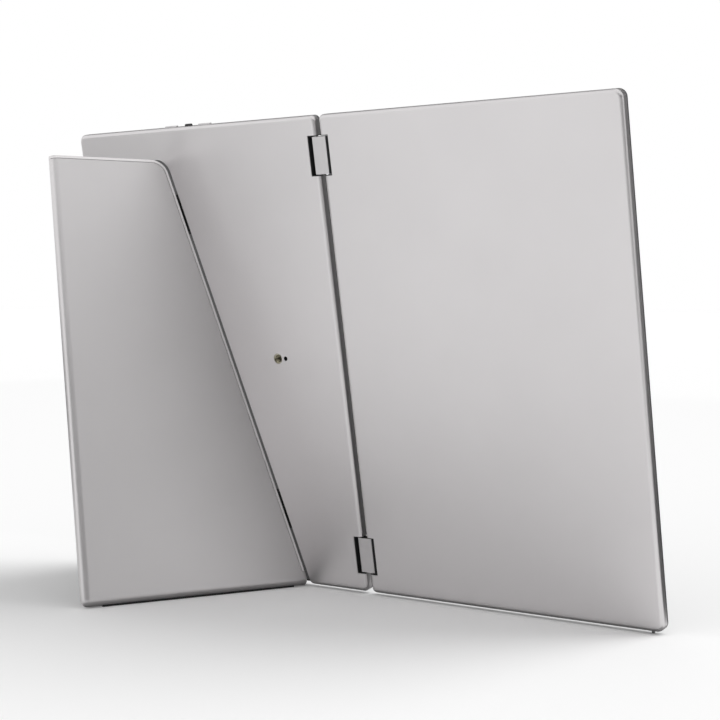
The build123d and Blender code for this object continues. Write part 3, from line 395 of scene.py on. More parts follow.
class Finishes:
    """The object's finishes, each built once as a material."""

    SILVER = Finish(
        "blasted_aluminium", (0.71, 0.692, 0.697), (0.35, 0.41), metallic=1.0, tone=0.012, tone_size=0.05,
        grain=Grain(0.00035, 0.00001, 0.25),
    )
    PLATE = Finish(
        "satin_hinge_plate", (0.64, 0.625, 0.63), (0.36, 0.44), metallic=1.0, tone=0.02, tone_size=0.006,
        grain=Grain(0.0003, 0.00001, 0.25),
    )
    BEZEL = Finish(
        "grained_black_plastic", (0.028, 0.028, 0.031), (0.42, 0.55), tone=0.12, tone_size=0.02,
        grain=Grain(0.0004, 0.00003, 0.35),
    )
    LINER = Finish(
        "matte_black_plastic", (0.012, 0.012, 0.013), (0.55, 0.7), tone=0.15, tone_size=0.01,
        grain=Grain(0.0004, 0.00003, 0.35),
    )
    DARK_METAL = Finish(
        "black_oxide_metal", (0.016, 0.016, 0.018), (0.45, 0.6), metallic=0.4, tone=0.15, tone_size=0.004,
        grain=Grain(0.0003),
    )
    STEEL = Finish(
        "satin_steel", (0.52, 0.52, 0.53), (0.28, 0.4), metallic=1.0, tone=0.04, tone_size=0.004,
        grain=Grain(0.0004, 0.00001, stretch=(1.0, 1.0, 12.0)),
    )
    BRASS = Finish(
        "washed_brass", (0.52, 0.5, 0.42), (0.22, 0.34), metallic=1.0, tone=0.06, tone_size=0.002,
        grain=Grain(0.0003, 0.00001),
    )
    GOLD = Finish(
        "gold_contact", (0.72, 0.52, 0.2), (0.2, 0.3), metallic=1.0, tone=0.05, tone_size=0.001,
        grain=Grain(0.0002, 0.000005, 0.2),
    )
    RUBBER = Finish(
        "soft_rubber", (0.02, 0.02, 0.021), (0.7, 0.85), tone=0.15, tone_size=0.004,
        grain=Grain(0.0003, 0.00004, 0.4),
    )
    GREY_RUBBER = Finish(
        "grey_rubber", (0.17, 0.17, 0.172), (0.7, 0.85), tone=0.1, tone_size=0.002,
        grain=Grain(0.0003, 0.00003, 0.4),
    )
    OLED = Finish(
        "unlit_screen", (0.005, 0.005, 0.007), (0.2, 0.25), tone=0.1, tone_size=0.05,
        grain=Grain(0.0002, 0.000002, 0.1), coat=0.5, coat_roughness=0.1,
    )
    SCREEN_PLATE = Finish(
        "graphite_sheet", (0.035, 0.035, 0.038), (0.5, 0.65), metallic=0.6, tone=0.1, tone_size=0.01,
    )
    BOARD = Finish(
        "solder_mask", (0.012, 0.07, 0.035), (0.4, 0.5), tone=0.25, tone_size=0.0025,
        grain=Grain(0.0006, 0.00003, 0.4), coat=0.4, coat_roughness=0.25,
    )
    CHIP = Finish(
        "moulded_chip", (0.018, 0.018, 0.02), (0.5, 0.62), tone=0.15, tone_size=0.003,
        grain=Grain(0.0002, 0.00002, 0.4),
    )
    CABLE = Finish(
        "cable_jacket", (0.014, 0.014, 0.015), (0.45, 0.6), tone=0.12, tone_size=0.003, grain=Grain(0.0003),
    )
    PLATED = Finish(
        "nickel_plating", (0.6, 0.59, 0.57), (0.18, 0.28), metallic=1.0, tone=0.04, tone_size=0.003,
        grain=Grain(0.0005, 0.00001, 0.2),
    )
    CAP = Finish(
        "black_joystick_cap", (0.02, 0.02, 0.022), (0.38, 0.5), tone=0.12, tone_size=0.002,
        grain=Grain(0.00025, 0.00002, 0.35),
    )
    POLISHED = Finish(
        "polished_rim", (0.8, 0.78, 0.785), (0.16, 0.22), metallic=0.5, tone=0.01, tone_size=0.02,
        grain=Grain(0.0006, 0.000002, 0.15),
    )
    # Painted shade: a dark metal colour for the rim's groove line, standing in for its shade.
    GROOVE_SHADE = Finish(
        "rim_shade_line", (0.2, 0.195, 0.2), (0.4, 0.5), metallic=1.0, tone=0.05, tone_size=0.01,
        grain=Grain(0.0003, 0.000005, 0.2),
    )
    LENS = Finish(
        "light_lens", (0.05, 0.05, 0.052), (0.2, 0.3), tone=0.1, tone_size=0.0005,
        grain=Grain(0.0001, 0.000002, 0.1), coat=1.0, coat_roughness=0.02,
    )

    def __init__(self) -> None:
        """Starts with no material built."""
        self.built: dict[str, Material] = {}

    def dress(self, piece: Piece, finish: Finish) -> None:
        """Gives a piece one finish all over, building its material at its first use.

        Args:
            piece: The object.
            finish: Its finish.
        """
        if finish.name not in self.built:
            self.built[finish.name] = finish.material()
        piece.data.materials.clear()
        piece.data.materials.append(self.built[finish.name])
        log.info("%s: %s", piece.name, finish.name)


@dataclass
class Axes:
    """A frame on the object, whose points are given in millimetres.

    Attributes:
        origin: The frame's origin in metres.
        x: Its first direction.
        y: Its second direction.
        z: Its third direction.
    """

    origin: Vector
    x: Vector
    y: Vector
    z: Vector

    def matrix(self) -> Matrix:
        """Returns the transform from the frame, in metres, to the world."""
        turn = Matrix((self.x, self.y, self.z)).transposed().to_4x4()
        return Matrix.Translation(self.origin) @ turn

    def beyond(self, direction: Vector, millimetres: float) -> Plane:
        """Returns the plane that lies this far from the origin along one of the frame's directions."""
        return direction, self.origin.dot(direction) + millimetres * MM

    def before(self, direction: Vector, millimetres: float) -> Plane:
        """Returns the same plane, with the space on its other side."""
        return -direction, -(self.origin.dot(direction) + millimetres * MM)

    def block(self, low: Triple, high: Triple) -> tuple[Plane, ...]:
        """Returns the six planes around a block between two corners in millimetres."""
        sides = zip((self.x, self.y, self.z), low, high)
        return tuple(plane for way, a, b in sides for plane in (self.beyond(way, a), self.before(way, b)))


@dataclass(frozen=True)
class Sizes:
    """The sizes of the solids that the finer pieces are set against, in millimetres and degrees."""

    panel_height: float = 312.0
    panel_depth: float = 8.0
    panel_edge: float = 1.65
    hinge_bezel: float = 11.5
    screen_width: float = 188.5
    screen_height: float = 301.6
    hinge_axis_x: float = 4.2
    mid_depth: float = 4.0
    stand_slant: float = 15.7
    stand_open: float = 70.0
    stand_top: float = 290.8
    stand_face: float = 0.2
    stand_gap: float = 1.5


@dataclass
class Frames:
    """The frames of the leaning panels and of the open flap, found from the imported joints.

    Attributes:
        panel: x towards the main display, y up the panels, z from the back face to the screen.
        hinge: x out from the flap's slanted hinge line, y up that line, z to the flap's inner side.
        flap: The same origin, with x along the flap's lower edge.
        shut: The hinge line's frame when the flap is shut on the back.
    """

    panel: Axes
    hinge: Axes
    flap: Axes
    shut: Axes

    @classmethod
    def find(cls, joints: dict[str, Any], sizes: Sizes) -> Frames:
        """Works out the frames.

        Args:
            joints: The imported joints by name.
            sizes: The solids' sizes.

        Returns:
            The frames.
        """
        fold, swing = joints["main_fold"], joints["stand_swing"]
        up = Vector(fold["axis"]).normalized()
        depth = Vector(joints["joystick_sideways"]["axis"]).normalized()
        across = up.cross(depth)
        middle = Vector((sizes.hinge_axis_x, sizes.panel_height / 2, sizes.mid_depth)) * MM
        base = Vector(fold["pos_m"]) - across * middle.x - up * middle.y - depth * middle.z
        line = Vector(swing["axis"]).normalized()
        foot = Vector(swing["pos_m"]) - line * (sizes.stand_top / 2 * MM)
        flat = line.cross(depth)
        opened, slant = math.radians(sizes.stand_open), math.radians(sizes.stand_slant)
        out = flat * math.cos(opened) - depth * math.sin(opened)
        inward = flat * math.sin(opened) + depth * math.cos(opened)
        level = out * math.cos(slant) + line * math.sin(slant)
        return cls(
            Axes(base, across, up, depth), Axes(foot, out, line, inward),
            Axes(foot, level, inward.cross(level), inward), Axes(foot, flat, line, depth),
        )


class Workbench:
    """The steps that every modelled piece goes through, with Blender's own tools."""

    @staticmethod
    def start(primitive: Callable[..., Any], **settings: Any) -> Piece:
        """Adds one of the simple shapes that pieces are made from.

        Args:
            primitive: The operator that adds it.
            **settings: The operator's settings.

        Returns:
            The new piece.
        """
        bpy.ops.object.select_all(action="DESELECT")
        primitive(**settings)
        return bpy.context.object

    @staticmethod
    def take(piece: Piece) -> None:
        """Makes one piece the only selected and active one.

        Args:
            piece: The piece.
        """
        bpy.ops.object.select_all(action="DESELECT")
        piece.select_set(True)
        bpy.context.view_layer.objects.active = piece

    @staticmethod
    def pick(piece: Piece, kind: str, test: Callable[[Vector], bool]) -> None:
        """Enters edit mode with the elements selected whose middle passes a test.

        Args:
            piece: The piece.
            kind: VERT, EDGE or FACE.
            test: What an element's middle has to pass.
        """
        Workbench.take(piece)
        bpy.ops.object.mode_set(mode="EDIT")
        bpy.ops.mesh.select_mode(type=kind)
        bpy.ops.mesh.select_all(action="DESELECT")
        bpy.ops.object.mode_set(mode="OBJECT")
        mesh = piece.data
        for element in {"VERT": mesh.vertices, "EDGE": mesh.edges, "FACE": mesh.polygons}[kind]:
            numbers = (element.index,) if kind == "VERT" else element.vertices
            places = [mesh.vertices[number].co for number in numbers]
            element.select = test(sum(places, Vector()) / len(places))
        bpy.ops.object.mode_set(mode="EDIT")

    @staticmethod
    def done() -> None:
        """Leaves edit mode with all normals turned outwards."""
        bpy.ops.mesh.select_all(action="SELECT")
        bpy.ops.mesh.normals_make_consistent(inside=False)
        bpy.ops.object.mode_set(mode="OBJECT")

    @staticmethod
    def soften(piece: Piece, edge: float, segments: int, test: Callable[[Vector], bool]) -> None:
        """Breaks the edges whose middle passes a test.

        Args:
            piece: The piece.
            edge: How much they are broken, in millimetres.
            segments: In how many steps.
            test: What an edge's middle has to pass.
        """
        Workbench.pick(piece, "EDGE", test)
        bpy.ops.mesh.bevel(offset=edge * MM, segments=segments, affect="EDGES")
        Workbench.done()

    @staticmethod
    def apply(piece: Piece, modifier: bpy.types.Modifier) -> None:
        """Applies a modifier."""
        Workbench.take(piece)
        bpy.ops.object.modifier_apply(modifier=modifier.name)

    @staticmethod
    def fix(piece: Piece) -> None:
        """Puts a piece's place, turn and size into its mesh."""
        Workbench.take(piece)
        bpy.ops.object.transform_apply(location=True, rotation=True, scale=True)

    @staticmethod
    def block(size: Triple, place: Triple, edge: float) -> Piece:
        """Makes a small block with broken edges.

        Args:
            size: Its three sizes in millimetres.
            place: Its middle in millimetres.
            edge: How much its edges are broken.

        Returns:
            The block, in its maker's frame.
        """
        piece = Workbench.start(bpy.ops.mesh.primitive_cube_add, size=1.0, location=Vector(place) * MM)
        piece.scale = Vector(size) * MM
        Workbench.fix(piece)
        Workbench.soften(piece, edge, segments=2, test=lambda middle: True)
        return piece

    @staticmethod
    def rod(radius: float, low: float, high: float, sides: int) -> Piece:
        """Makes an upright rod at the origin.

        Args:
            radius: Its radius in millimetres.
            low: The height of its lower end.
            high: The height of its upper end.
            sides: How many sides it has.

        Returns:
            The rod.
        """
        piece = Workbench.start(
            bpy.ops.mesh.primitive_cylinder_add, vertices=sides, radius=radius * MM,
            depth=(high - low) * MM, location=(0.0, 0.0, (low + high) / 2 * MM),
        )
        Workbench.fix(piece)
        return piece

    @staticmethod
    def copy(piece: Piece, shift: Vector) -> Piece:
        """Copies a piece with a mesh of its own.

        Args:
            piece: The piece.
            shift: How far the copy is moved, in metres.

        Returns:
            The copy.
        """
        twin = piece.copy()
        twin.data = piece.data.copy()
        bpy.context.scene.collection.objects.link(twin)
        twin.location = piece.location + shift
        return twin

    @staticmethod
    def combine(piece: Piece, other: Piece, operation: str) -> None:
        """Unites a piece with another, or cuts it by the other, which is then removed.

        Args:
            piece: The piece that stays.
            other: The piece that is used up.
            operation: UNION or DIFFERENCE.
        """
        step = piece.modifiers.new("combine", "BOOLEAN")
        step.operation = operation
        step.object = other
        Workbench.apply(piece, step)
        bpy.data.objects.remove(other, do_unlink=True)

    @staticmethod
    def join(name: str, pieces: list[Piece], frame: Axes) -> Piece:
        """Joins pieces into one and sets it in its frame on the object.

        Args:
            name: The joined piece's name.
            pieces: The pieces.
            frame: The frame in which they were made.

        Returns:
            The joined piece, with its place in its mesh.
        """
        for piece in pieces:
            Workbench.fix(piece)
        Workbench.take(pieces[0])
        for piece in pieces:
            piece.select_set(True)
        if len(pieces) > 1:
            bpy.ops.object.join()
        whole = bpy.context.view_layer.objects.active
        whole.name = name
        whole.matrix_world = frame.matrix()
        Workbench.fix(whole)
        bpy.ops.object.shade_smooth_by_angle(angle=SMOOTH_ANGLE)
        return whole


@dataclass
class SubAssembly:
    """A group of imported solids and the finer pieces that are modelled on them.

    Attributes:
        finishes: The object's finishes.
        frames: The frames of the panels and the flap.
        sizes: The solids' sizes.
    """

    finishes: Finishes
    frames: Frames
    sizes: Sizes

    def wear(self) -> dict[str, Finish]:
        """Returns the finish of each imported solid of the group."""
        return {}

    def dress(self, nodes: dict[str, Piece]) -> None:
        """Puts the finishes on the group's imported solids, which are given by name."""
        for name, finish in self.wear().items():
            self.finishes.dress(nodes[name], finish)

    def build(self) -> None:
        """Models the group's finer pieces; none by default."""

    def add(self, piece: Piece, body: Body, slot: Slot, finish: Finish) -> None:
        """Hands a modelled piece over to the body that carries it.

        Args:
            piece: The piece.
            body: The body that it rides on.
            slot: The record's material slot; not used.
            finish: Its finish.
        """
        self.finishes.dress(piece, finish)
        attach(piece, body.value)


@dataclass
class Display(SubAssembly):
    """What both displays have: cover, bezel, screen, plates, hinge halves and boards.

    Attributes:
        side: Which display it is.
    """

    side: Side = Side.MAIN

    def glass(self) -> Finish:
        """Makes the screen glass, deep black round the picture and a little lighter in it.

        Returns:
            The glass's finish.
        """
        sizes, way = self.sizes, 1.0 if self.side is Side.MAIN else -1.0
        near = sizes.panel_edge + sizes.hinge_bezel
        low, high = sorted((way * near, way * (near + sizes.screen_width)))
        margin = (sizes.panel_height - sizes.screen_height) / 2
        top, front = sizes.panel_height - margin, 2 * sizes.panel_depth
        picture = self.frames.panel.block((low, margin, 0.0), (high, top, front))
        return PartedFinish(
            f"{self.side.value}_glass", (0.0025, 0.0025, 0.003), (0.06, 0.09), tone=0.1, tone_size=0.08,
            grain=Grain(0.002, 0.000001, 0.1), coat=1.0,
            regions=(Region(picture, colour=(0.008, 0.008, 0.011), roughness=0.1),),
        )

    def wear(self) -> dict[str, Finish]:
        """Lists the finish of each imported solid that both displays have.

        Returns:
            The finishes by the solids' names.
        """
        kit = self.finishes
        common = {
            "back_cover": kit.SILVER, "bezel": kit.BEZEL, "screen_glass": self.glass(),
            "oled_panel": kit.OLED, "mid_plate": kit.SCREEN_PLATE, "plate_screws": kit.STEEL,
            "hinge_brackets": kit.STEEL, "bracket_screws": kit.STEEL, "hinge_stubs": kit.STEEL,
            "notch_liners": kit.LINER, "link_cable": kit.CABLE, "board": kit.BOARD,
            "board_chips": kit.CHIP, "board_screws": kit.STEEL,
        }
        return {f"{self.side.value}_{name}": finish for name, finish in common.items()}


@dataclass
class SecondDisplay(Display):
    """The second display, with the small foot under its outer corner."""

    side: Side = Side.SECOND

    def wear(self) -> dict[str, Finish]:
        """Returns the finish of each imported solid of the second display."""
        return super().wear() | {"second_foot": self.finishes.GREY_RUBBER}


@dataclass(frozen=True)
class Socket:
    """One kind of data socket on the main display's top edge.

    Attributes:
        node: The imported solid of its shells.
        shell: The name of the shells' finish.
        contacts: The name of its contacts.
        places: Its sideways places.
        half_tongue: Half the width of its tongue.
        count: How many contacts a row has.
        pitch: The distance between them.
    """

    node: str
    shell: str
    contacts: str
    places: tuple[float, ...]
    half_tongue: float
    count: int
    pitch: float


@dataclass
class MainDisplay(Display):
    """The main display, with its tripod socket, its data sockets and the seat of the flap.

    Attributes:
        seat_shade_depth: From what depth the flap's seat is coloured darker, as a lining and as painted
            shade in the recess.
        seat_lining_and_shade_colour: The linear colour of that lining and painted shade.
        seat_lining_and_shade_colour: That lining's linear colour.
        seat_room: How far the seat reaches above the flap.
        lining_and_shade_inset: How far in from the seat's slanted wall the darker lining and painted shade
            start.
        tripod: The tripod socket's place on the back.
        pin_hole: The place of the hole beside it for an anti-twist pin.
        pin_reach: Half the width of the space that the hole fills.
        pin_shade_depth: From what depth the hole is painted black, as painted shade in the hole.
        ridge_place: How far the thread's ridge stands from the tripod socket's axis.
        ridge_radius: The radius of the ridge's three-sided section.
        thread_start: How deep the thread starts.
        thread_pitch: The rise of one turn.
        thread_turns: How many turns it has.
        thread_steps: In how many steps a turn is made.
        sockets: The kinds of data socket.
        socket_depth: How deep the sockets' middle lies.
        tongue_top: The height of the tongues' ends.
        tongue_length: How far the tongues stand free.
        tongue_room: Half the thickness of the space that a tongue fills.
        contact_drop: How far the contacts' middle lies below the tongues' ends.
        contact_rise: How far it lies from the tongues' middle.
        contact_share: The contacts' width as a share of their pitch.
        contact_length: The contacts' length.
        contact_thickness: Their thickness.
        contact_edge: How much their edges are broken.
    """

    # The seat's darker colour is partly a lining and partly painted shade in the recess under the flap.
    seat_shade_depth: float = 0.9
    seat_lining_and_shade_colour: Triple = (0.14, 0.14, 0.144)
    seat_room: float = 0.3
    lining_and_shade_inset: float = 0.06
    tripod: tuple[float, float] = (54.0, 156.0)
    pin_hole: tuple[float, float] = (47.4, 156.2)
    pin_reach: float = 1.6
    pin_shade_depth: float = 0.25
    ridge_place: float = 3.02
    ridge_radius: float = 0.42
    thread_start: float = 0.62
    thread_pitch: float = 1.27
    thread_turns: int = 3
    thread_steps: int = 40
    sockets: tuple[Socket, ...] = (
        Socket(
            "usb_c_sockets", "plated_usb_shell", "usb_contacts", places=(66.0, 50.0), half_tongue=3.35,
            count=12, pitch=0.5,
        ),
        Socket(
            "mini_hdmi_socket", "plated_hdmi_shell", "hdmi_contacts", places=(31.0,), half_tongue=4.05,
            count=10, pitch=0.78,
        ),
    )
    socket_depth: float = 3.6
    tongue_top: float = 309.6
    tongue_length: float = 4.95
    tongue_room: float = 0.4
    contact_drop: float = 1.9
    contact_rise: float = 0.355
    contact_share: float = 0.52
    contact_length: float = 3.0
    contact_thickness: float = 0.05
    contact_edge: float = 0.012

    def cover(self) -> Finish:
        """Makes the cover's blasted metal, with painted shade in the flap's sunken seat (also taken as a
        darker lining) and painted shade, black, in the pin hole.

        Returns:
            The cover's finish.
        """
        panel, shut, sizes = self.frames.panel, self.frames.shut, self.sizes
        # Painted shade: the flap's seat is coloured darker, a lining that also stands in for the recess's
        # shade.
        seat = (
            panel.beyond(panel.z, self.seat_shade_depth), panel.before(panel.y, sizes.stand_top + self.seat_room),
            shut.beyond(shut.x, self.lining_and_shade_inset - sizes.stand_gap / 2),
        )
        # Painted shade: the pin hole is coloured black inside.
        (x, y), reach = self.pin_hole, self.pin_reach
        hole = panel.block((x - reach, y - reach, self.pin_shade_depth), (x + reach, y + reach, sizes.mid_depth))
        regions = (Region(seat, self.seat_lining_and_shade_colour), Region(hole))
        return PartedFinish.over(self.finishes.SILVER, "blasted_cover_painted_shade", regions)

    def shell(self, socket: Socket) -> Finish:
        """Makes the plated finish of a socket's shells, with black tongues.

        Args:
            socket: The kind of socket.

        Returns:
            The shells' finish.
        """
        near, far = self.socket_depth - self.tongue_room, self.socket_depth + self.tongue_room
        low, high = self.tongue_top - self.tongue_length, self.sizes.panel_height
        block, reach = self.frames.panel.block, socket.half_tongue
        tongues = tuple(Region(block((x - reach, low, near), (x + reach, high, far))) for x in socket.places)
        return PartedFinish.over(self.finishes.PLATED, socket.shell, tongues)

    def wear(self) -> dict[str, Finish]:
        """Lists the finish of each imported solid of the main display.

        Returns:
            The finishes by the solids' names.
        """
        kit = self.finishes
        own = {
            "main_back_cover": self.cover(), "tripod_insert": kit.BRASS, "stand_magnets": kit.PLATED,
            "stand_hinge_tracks": kit.DARK_METAL, "stand_track_screws": kit.STEEL,
        }
        return super().wear() | own | {socket.node: self.shell(socket) for socket in self.sockets}

    def thread(self) -> None:
        """Turns the thread inside the tripod insert."""
        ridge = Workbench.start(
            bpy.ops.mesh.primitive_circle_add, vertices=3, radius=self.ridge_radius * MM,
            location=(self.ridge_place * MM, 0.0, 0.0), rotation=(math.pi / 2, 0.0, 0.0),
        )
        Workbench.fix(ridge)
        turn = ridge.modifiers.new("turn", "SCREW")
        turn.axis = "Z"
        turn.screw_offset = self.thread_pitch * MM
        turn.iterations = self.thread_turns
        turn.steps = turn.render_steps = self.thread_steps
        Workbench.apply(ridge, turn)
        bpy.ops.object.mode_set(mode="EDIT")
        bpy.ops.mesh.select_all(action="SELECT")
        bpy.ops.mesh.fill_holes(sides=3)
        Workbench.done()
        ridge.location = Vector((*self.tripod, self.thread_start)) * MM
        whole = Workbench.join("tripod_thread", [ridge], self.frames.panel)
        self.add(whole, Body.MAIN, Slot.BRASS, self.finishes.BRASS)

    def contacts(self, socket: Socket) -> None:
        """Lays a row of gilt contacts on both faces of a socket's tongues.

        Args:
            socket: The kind of socket.
        """
        pitch, start = socket.pitch, socket.places[0]
        size = (pitch * self.contact_share, self.contact_length, self.contact_thickness)
        side = start - (socket.count - 1) / 2 * pitch
        place = (side, self.tongue_top - self.contact_drop, self.socket_depth + self.contact_rise)
        first = Workbench.block(size, place, self.contact_edge)
        strips = [first]
        for x in socket.places:
            for step in range(socket.count):
                for face in (0.0, -2 * self.contact_rise):
                    shift = Vector((x - start + step * pitch, 0.0, face)) * MM
                    if shift.length > 0.0:
                        strips.append(Workbench.copy(first, shift))
        whole = Workbench.join(socket.contacts, strips, self.frames.panel)
        self.add(whole, Body.MAIN, Slot.BRASS, self.finishes.GOLD)

    def build(self) -> None:
        """Models the thread and the contacts."""
        self.thread()
        for socket in self.sockets:
            self.contacts(socket)


@dataclass
class Controls(SubAssembly):
    """The two buttons, the joystick and the little power light.

    Attributes:
        light: The light's place across, up and deep in the panel.
        lens_radius: The radius of its lens.
        lens_cut: How far below its middle the lens is cut off.
        lens_flatness: The lens's height as a share of a ball's.
    """

    light: Triple = (90.8, 312.3, 3.6)
    lens_radius: float = 0.43
    lens_cut: float = 0.1
    lens_flatness: float = 0.6

    def wear(self) -> dict[str, Finish]:
        """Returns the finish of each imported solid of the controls."""
        kit = self.finishes
        return {
            "power_button": kit.SILVER, "menu_button": kit.SILVER, "control_board": kit.BOARD,
            "control_switches": kit.CHIP, "joystick_housing": kit.CHIP, "joystick_plunger": kit.CHIP,
            "joystick_rocker": kit.CHIP, "joystick_stick": kit.STEEL, "joystick_cap": kit.CAP,
        }

    def build(self) -> None:
        """Models the lens of the power light, a low dome in its hole."""
        lens = Workbench.start(
            bpy.ops.mesh.primitive_uv_sphere_add, segments=24, ring_count=12, radius=self.lens_radius * MM
        )
        Workbench.pick(lens, "VERT", lambda place: place.z < -self.lens_cut * MM)
        bpy.ops.mesh.delete(type="VERT")
        bpy.ops.mesh.select_all(action="SELECT")
        bpy.ops.mesh.fill_holes(sides=0)
        Workbench.done()
        lens.scale = (1.0, 1.0, self.lens_flatness)
        lens.rotation_euler = (-math.pi / 2, 0.0, 0.0)
        lens.location = Vector(self.light) * MM
        whole = Workbench.join("power_light_lens", [lens], self.frames.panel)
        self.add(whole, Body.POWER, Slot.BLACK, self.finishes.LENS)


@dataclass
class FoldHinge(SubAssembly):
    """The two double hinges between the displays."""

    def wear(self) -> dict[str, Finish]:
        """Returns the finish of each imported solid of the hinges."""
        kit = self.finishes
        return {
            "hinge_links": kit.DARK_METAL, "hinge_back_plates": kit.PLATE, "hinge_front_plates": kit.PLATE,
            "hinge_link_cable": kit.CABLE,
        }


@dataclass
class Stand(SubAssembly):
    """The slanted flap that the displays lean on.

    Attributes:
        rim_width: How far in from its edge the flap's rim reaches.
        corner_radius: The radius of its upper corner.
        polish_inset: How far the polished ribbon keeps from the rim's two sides.
        polish_drop: How far that ribbon reaches down into the flap.
        groove_shade_width: The width of the fine groove along the rim, drawn as a dark strip of painted
            shade.
        groove_shade_drop: How far that painted-shade strip reaches down.
        ribbon_foot: How high the rim's ribbons start.
        ribbon_end: Where they meet the rolled edge, counted from the hinge line's foot.
        ribbon_proud: How far they stand out from the flap's face.
        roll_radius: The radius of the flap's rolled edge.
        roll_turn: How far they follow the roll, in degrees.
        screw_out: How far the arms' screws stand out from the hinge line.
        screw_heights: How far up the line they stand.
        head_seat: How deep their heads sit.
        head_radius: The heads' radius.
        head_height: The heads' height.
        head_round: How much their rims are rounded.
        cross_size: The length, width and height of one bar of the cross that is cut into them.
        cross_edge: How much the bar's edges are broken.
        shank_radius: The shanks' radius.
        shank_length: How far the shanks reach into the flap.
        shank_point: How much their ends are broken.
    """

    rim_width: float = 2.0
    corner_radius: float = 12.0
    polish_inset: float = 0.25
    polish_drop: float = 0.6
    # The groove is a dark strip of painted shade laid on the face, not a cut.
    groove_shade_width: float = 0.3
    groove_shade_drop: float = 0.05
    ribbon_foot: float = 9.0
    ribbon_end: float = 156.35
    ribbon_proud: float = 0.02
    roll_radius: float = 4.8
    roll_turn: float = 70.0
    screw_out: float = 8.9
    screw_heights: tuple[float, ...] = (47.0, 61.0, 257.07, 271.07)
    head_seat: float = 3.15
    head_radius: float = 1.6
    head_height: float = 0.7
    head_round: float = 0.25
    cross_size: Triple = (1.9, 0.42, 0.9)
    cross_edge: float = 0.08
    shank_radius: float = 0.78
    shank_length: float = 2.3
    shank_point: float = 0.15

    def wear(self) -> dict[str, Finish]:
        """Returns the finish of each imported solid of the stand."""
        kit = self.finishes
        return {
            "stand_plate": kit.SILVER, "stand_hinge_arms": kit.DARK_METAL, "stand_catch_plates": kit.PLATED,
            "stand_foot": kit.RUBBER,
        }

    def ribbon(self, name: str, inset: float, width: float, drop: float) -> Piece:
        """Draws a thin ribbon along the flap's rim: slanted edge, corner, top and over the rolled edge.

        Args:
            name: The ribbon's name.
            inset: How far its middle lies in from the flap's edge.
            width: Its width.
            drop: How far it reaches down into the flap.

        Returns:
            The ribbon, just proud of the flap's outer face.
        """
        slant, gap = math.radians(self.sizes.stand_slant), self.sizes.stand_gap / 2
        start_x = self.ribbon_foot * math.tan(slant) + (gap + inset) / math.cos(slant)
        foot = Vector((start_x, self.ribbon_foot, 0.0)) * MM
        centre_y = self.sizes.stand_top - self.corner_radius
        centre_x = centre_y * math.tan(slant) + (gap + self.corner_radius) / math.cos(slant)
        centre = Vector((centre_x, centre_y, 0.0)) * MM
        arm = Vector((-math.cos(slant), math.sin(slant), 0.0))
        bend = centre + arm * ((self.corner_radius - inset) * MM)
        run = Vector((self.ribbon_end * MM - centre.x, 0.0, 0.0))
        strip = Workbench.start(
            bpy.ops.mesh.primitive_plane_add, size=width * MM, location=foot, rotation=(0.0, 0.0, -slant)
        )
        Workbench.fix(strip)
        ahead = Vector((math.sin(slant), math.cos(slant), 0.0))
        Workbench.pick(strip, "VERT", lambda place: (place - foot).dot(ahead) < 0.0)
        bpy.ops.mesh.delete(type="VERT")
        bpy.ops.mesh.select_mode(type="EDGE")
        bpy.ops.mesh.select_all(action="SELECT")
        bpy.ops.mesh.extrude_edges_move(TRANSFORM_OT_translate={"value": bend - foot})
        bpy.ops.mesh.spin(steps=16, angle=math.pi / 2 - slant, center=centre, axis=(0.0, 0.0, 1.0))
        bpy.ops.mesh.extrude_edges_move(TRANSFORM_OT_translate={"value": run})
        roll = Vector((self.ribbon_end, 0.0, self.roll_radius + self.ribbon_proud)) * MM
        bpy.ops.mesh.spin(steps=12, angle=math.radians(self.roll_turn), center=roll, axis=(0.0, 1.0, 0.0))
        bpy.ops.mesh.select_all(action="SELECT")
        bpy.ops.mesh.remove_doubles(threshold=MERGE_DISTANCE)
        bpy.ops.mesh.extrude_region_move(TRANSFORM_OT_translate={"value": (0.0, 0.0, drop * MM)})
        Workbench.done()
        strip.location = Vector((0.0, 0.0, self.sizes.stand_face - self.ribbon_proud)) * MM
        return Workbench.join(name, [strip], self.frames.flap)

    def rim(self) -> None:
        """Lays the polished rim along the flap's edge, and beside it a thin dark strip that paints the shade
        of a fine groove.
        """
        width = self.rim_width - 2 * self.polish_inset
        bright = self.ribbon("stand_polished_rim", self.rim_width / 2, width, self.polish_drop)
        self.add(bright, Body.STAND, Slot.SILVER, self.finishes.POLISHED)
        # Painted shade: a thin dark strip just proud of the flap stands for the groove's shade.
        groove = self.ribbon("stand_rim_shade_line", self.rim_width, self.groove_shade_width, self.groove_shade_drop)
        self.add(groove, Body.STAND, Slot.DARK_METAL, self.finishes.GROOVE_SHADE)

    def screw(self) -> Piece:
        """Models one cross-head screw, its head up and its seat at the origin.

        Returns:
            The screw.
        """
        top, end = self.head_height, -self.shank_length
        face, tip = NEARLY * top * MM, NEARLY * end * MM
        head = Workbench.rod(self.head_radius, 0.0, top, sides=40)
        Workbench.soften(head, self.head_round, segments=3, test=lambda middle: middle.z > face)
        for turn in (0.0, math.pi / 2):
            cutter = Workbench.block(self.cross_size, (0.0, 0.0, top), self.cross_edge)
            cutter.rotation_euler = (0.0, 0.0, turn)
            Workbench.combine(head, cutter, "DIFFERENCE")
        shank = Workbench.rod(self.shank_radius, end, 0.0, sides=32)
        Workbench.soften(shank, self.shank_point, segments=2, test=lambda middle: middle.z < tip)
        Workbench.combine(head, shank, "UNION")
        return head

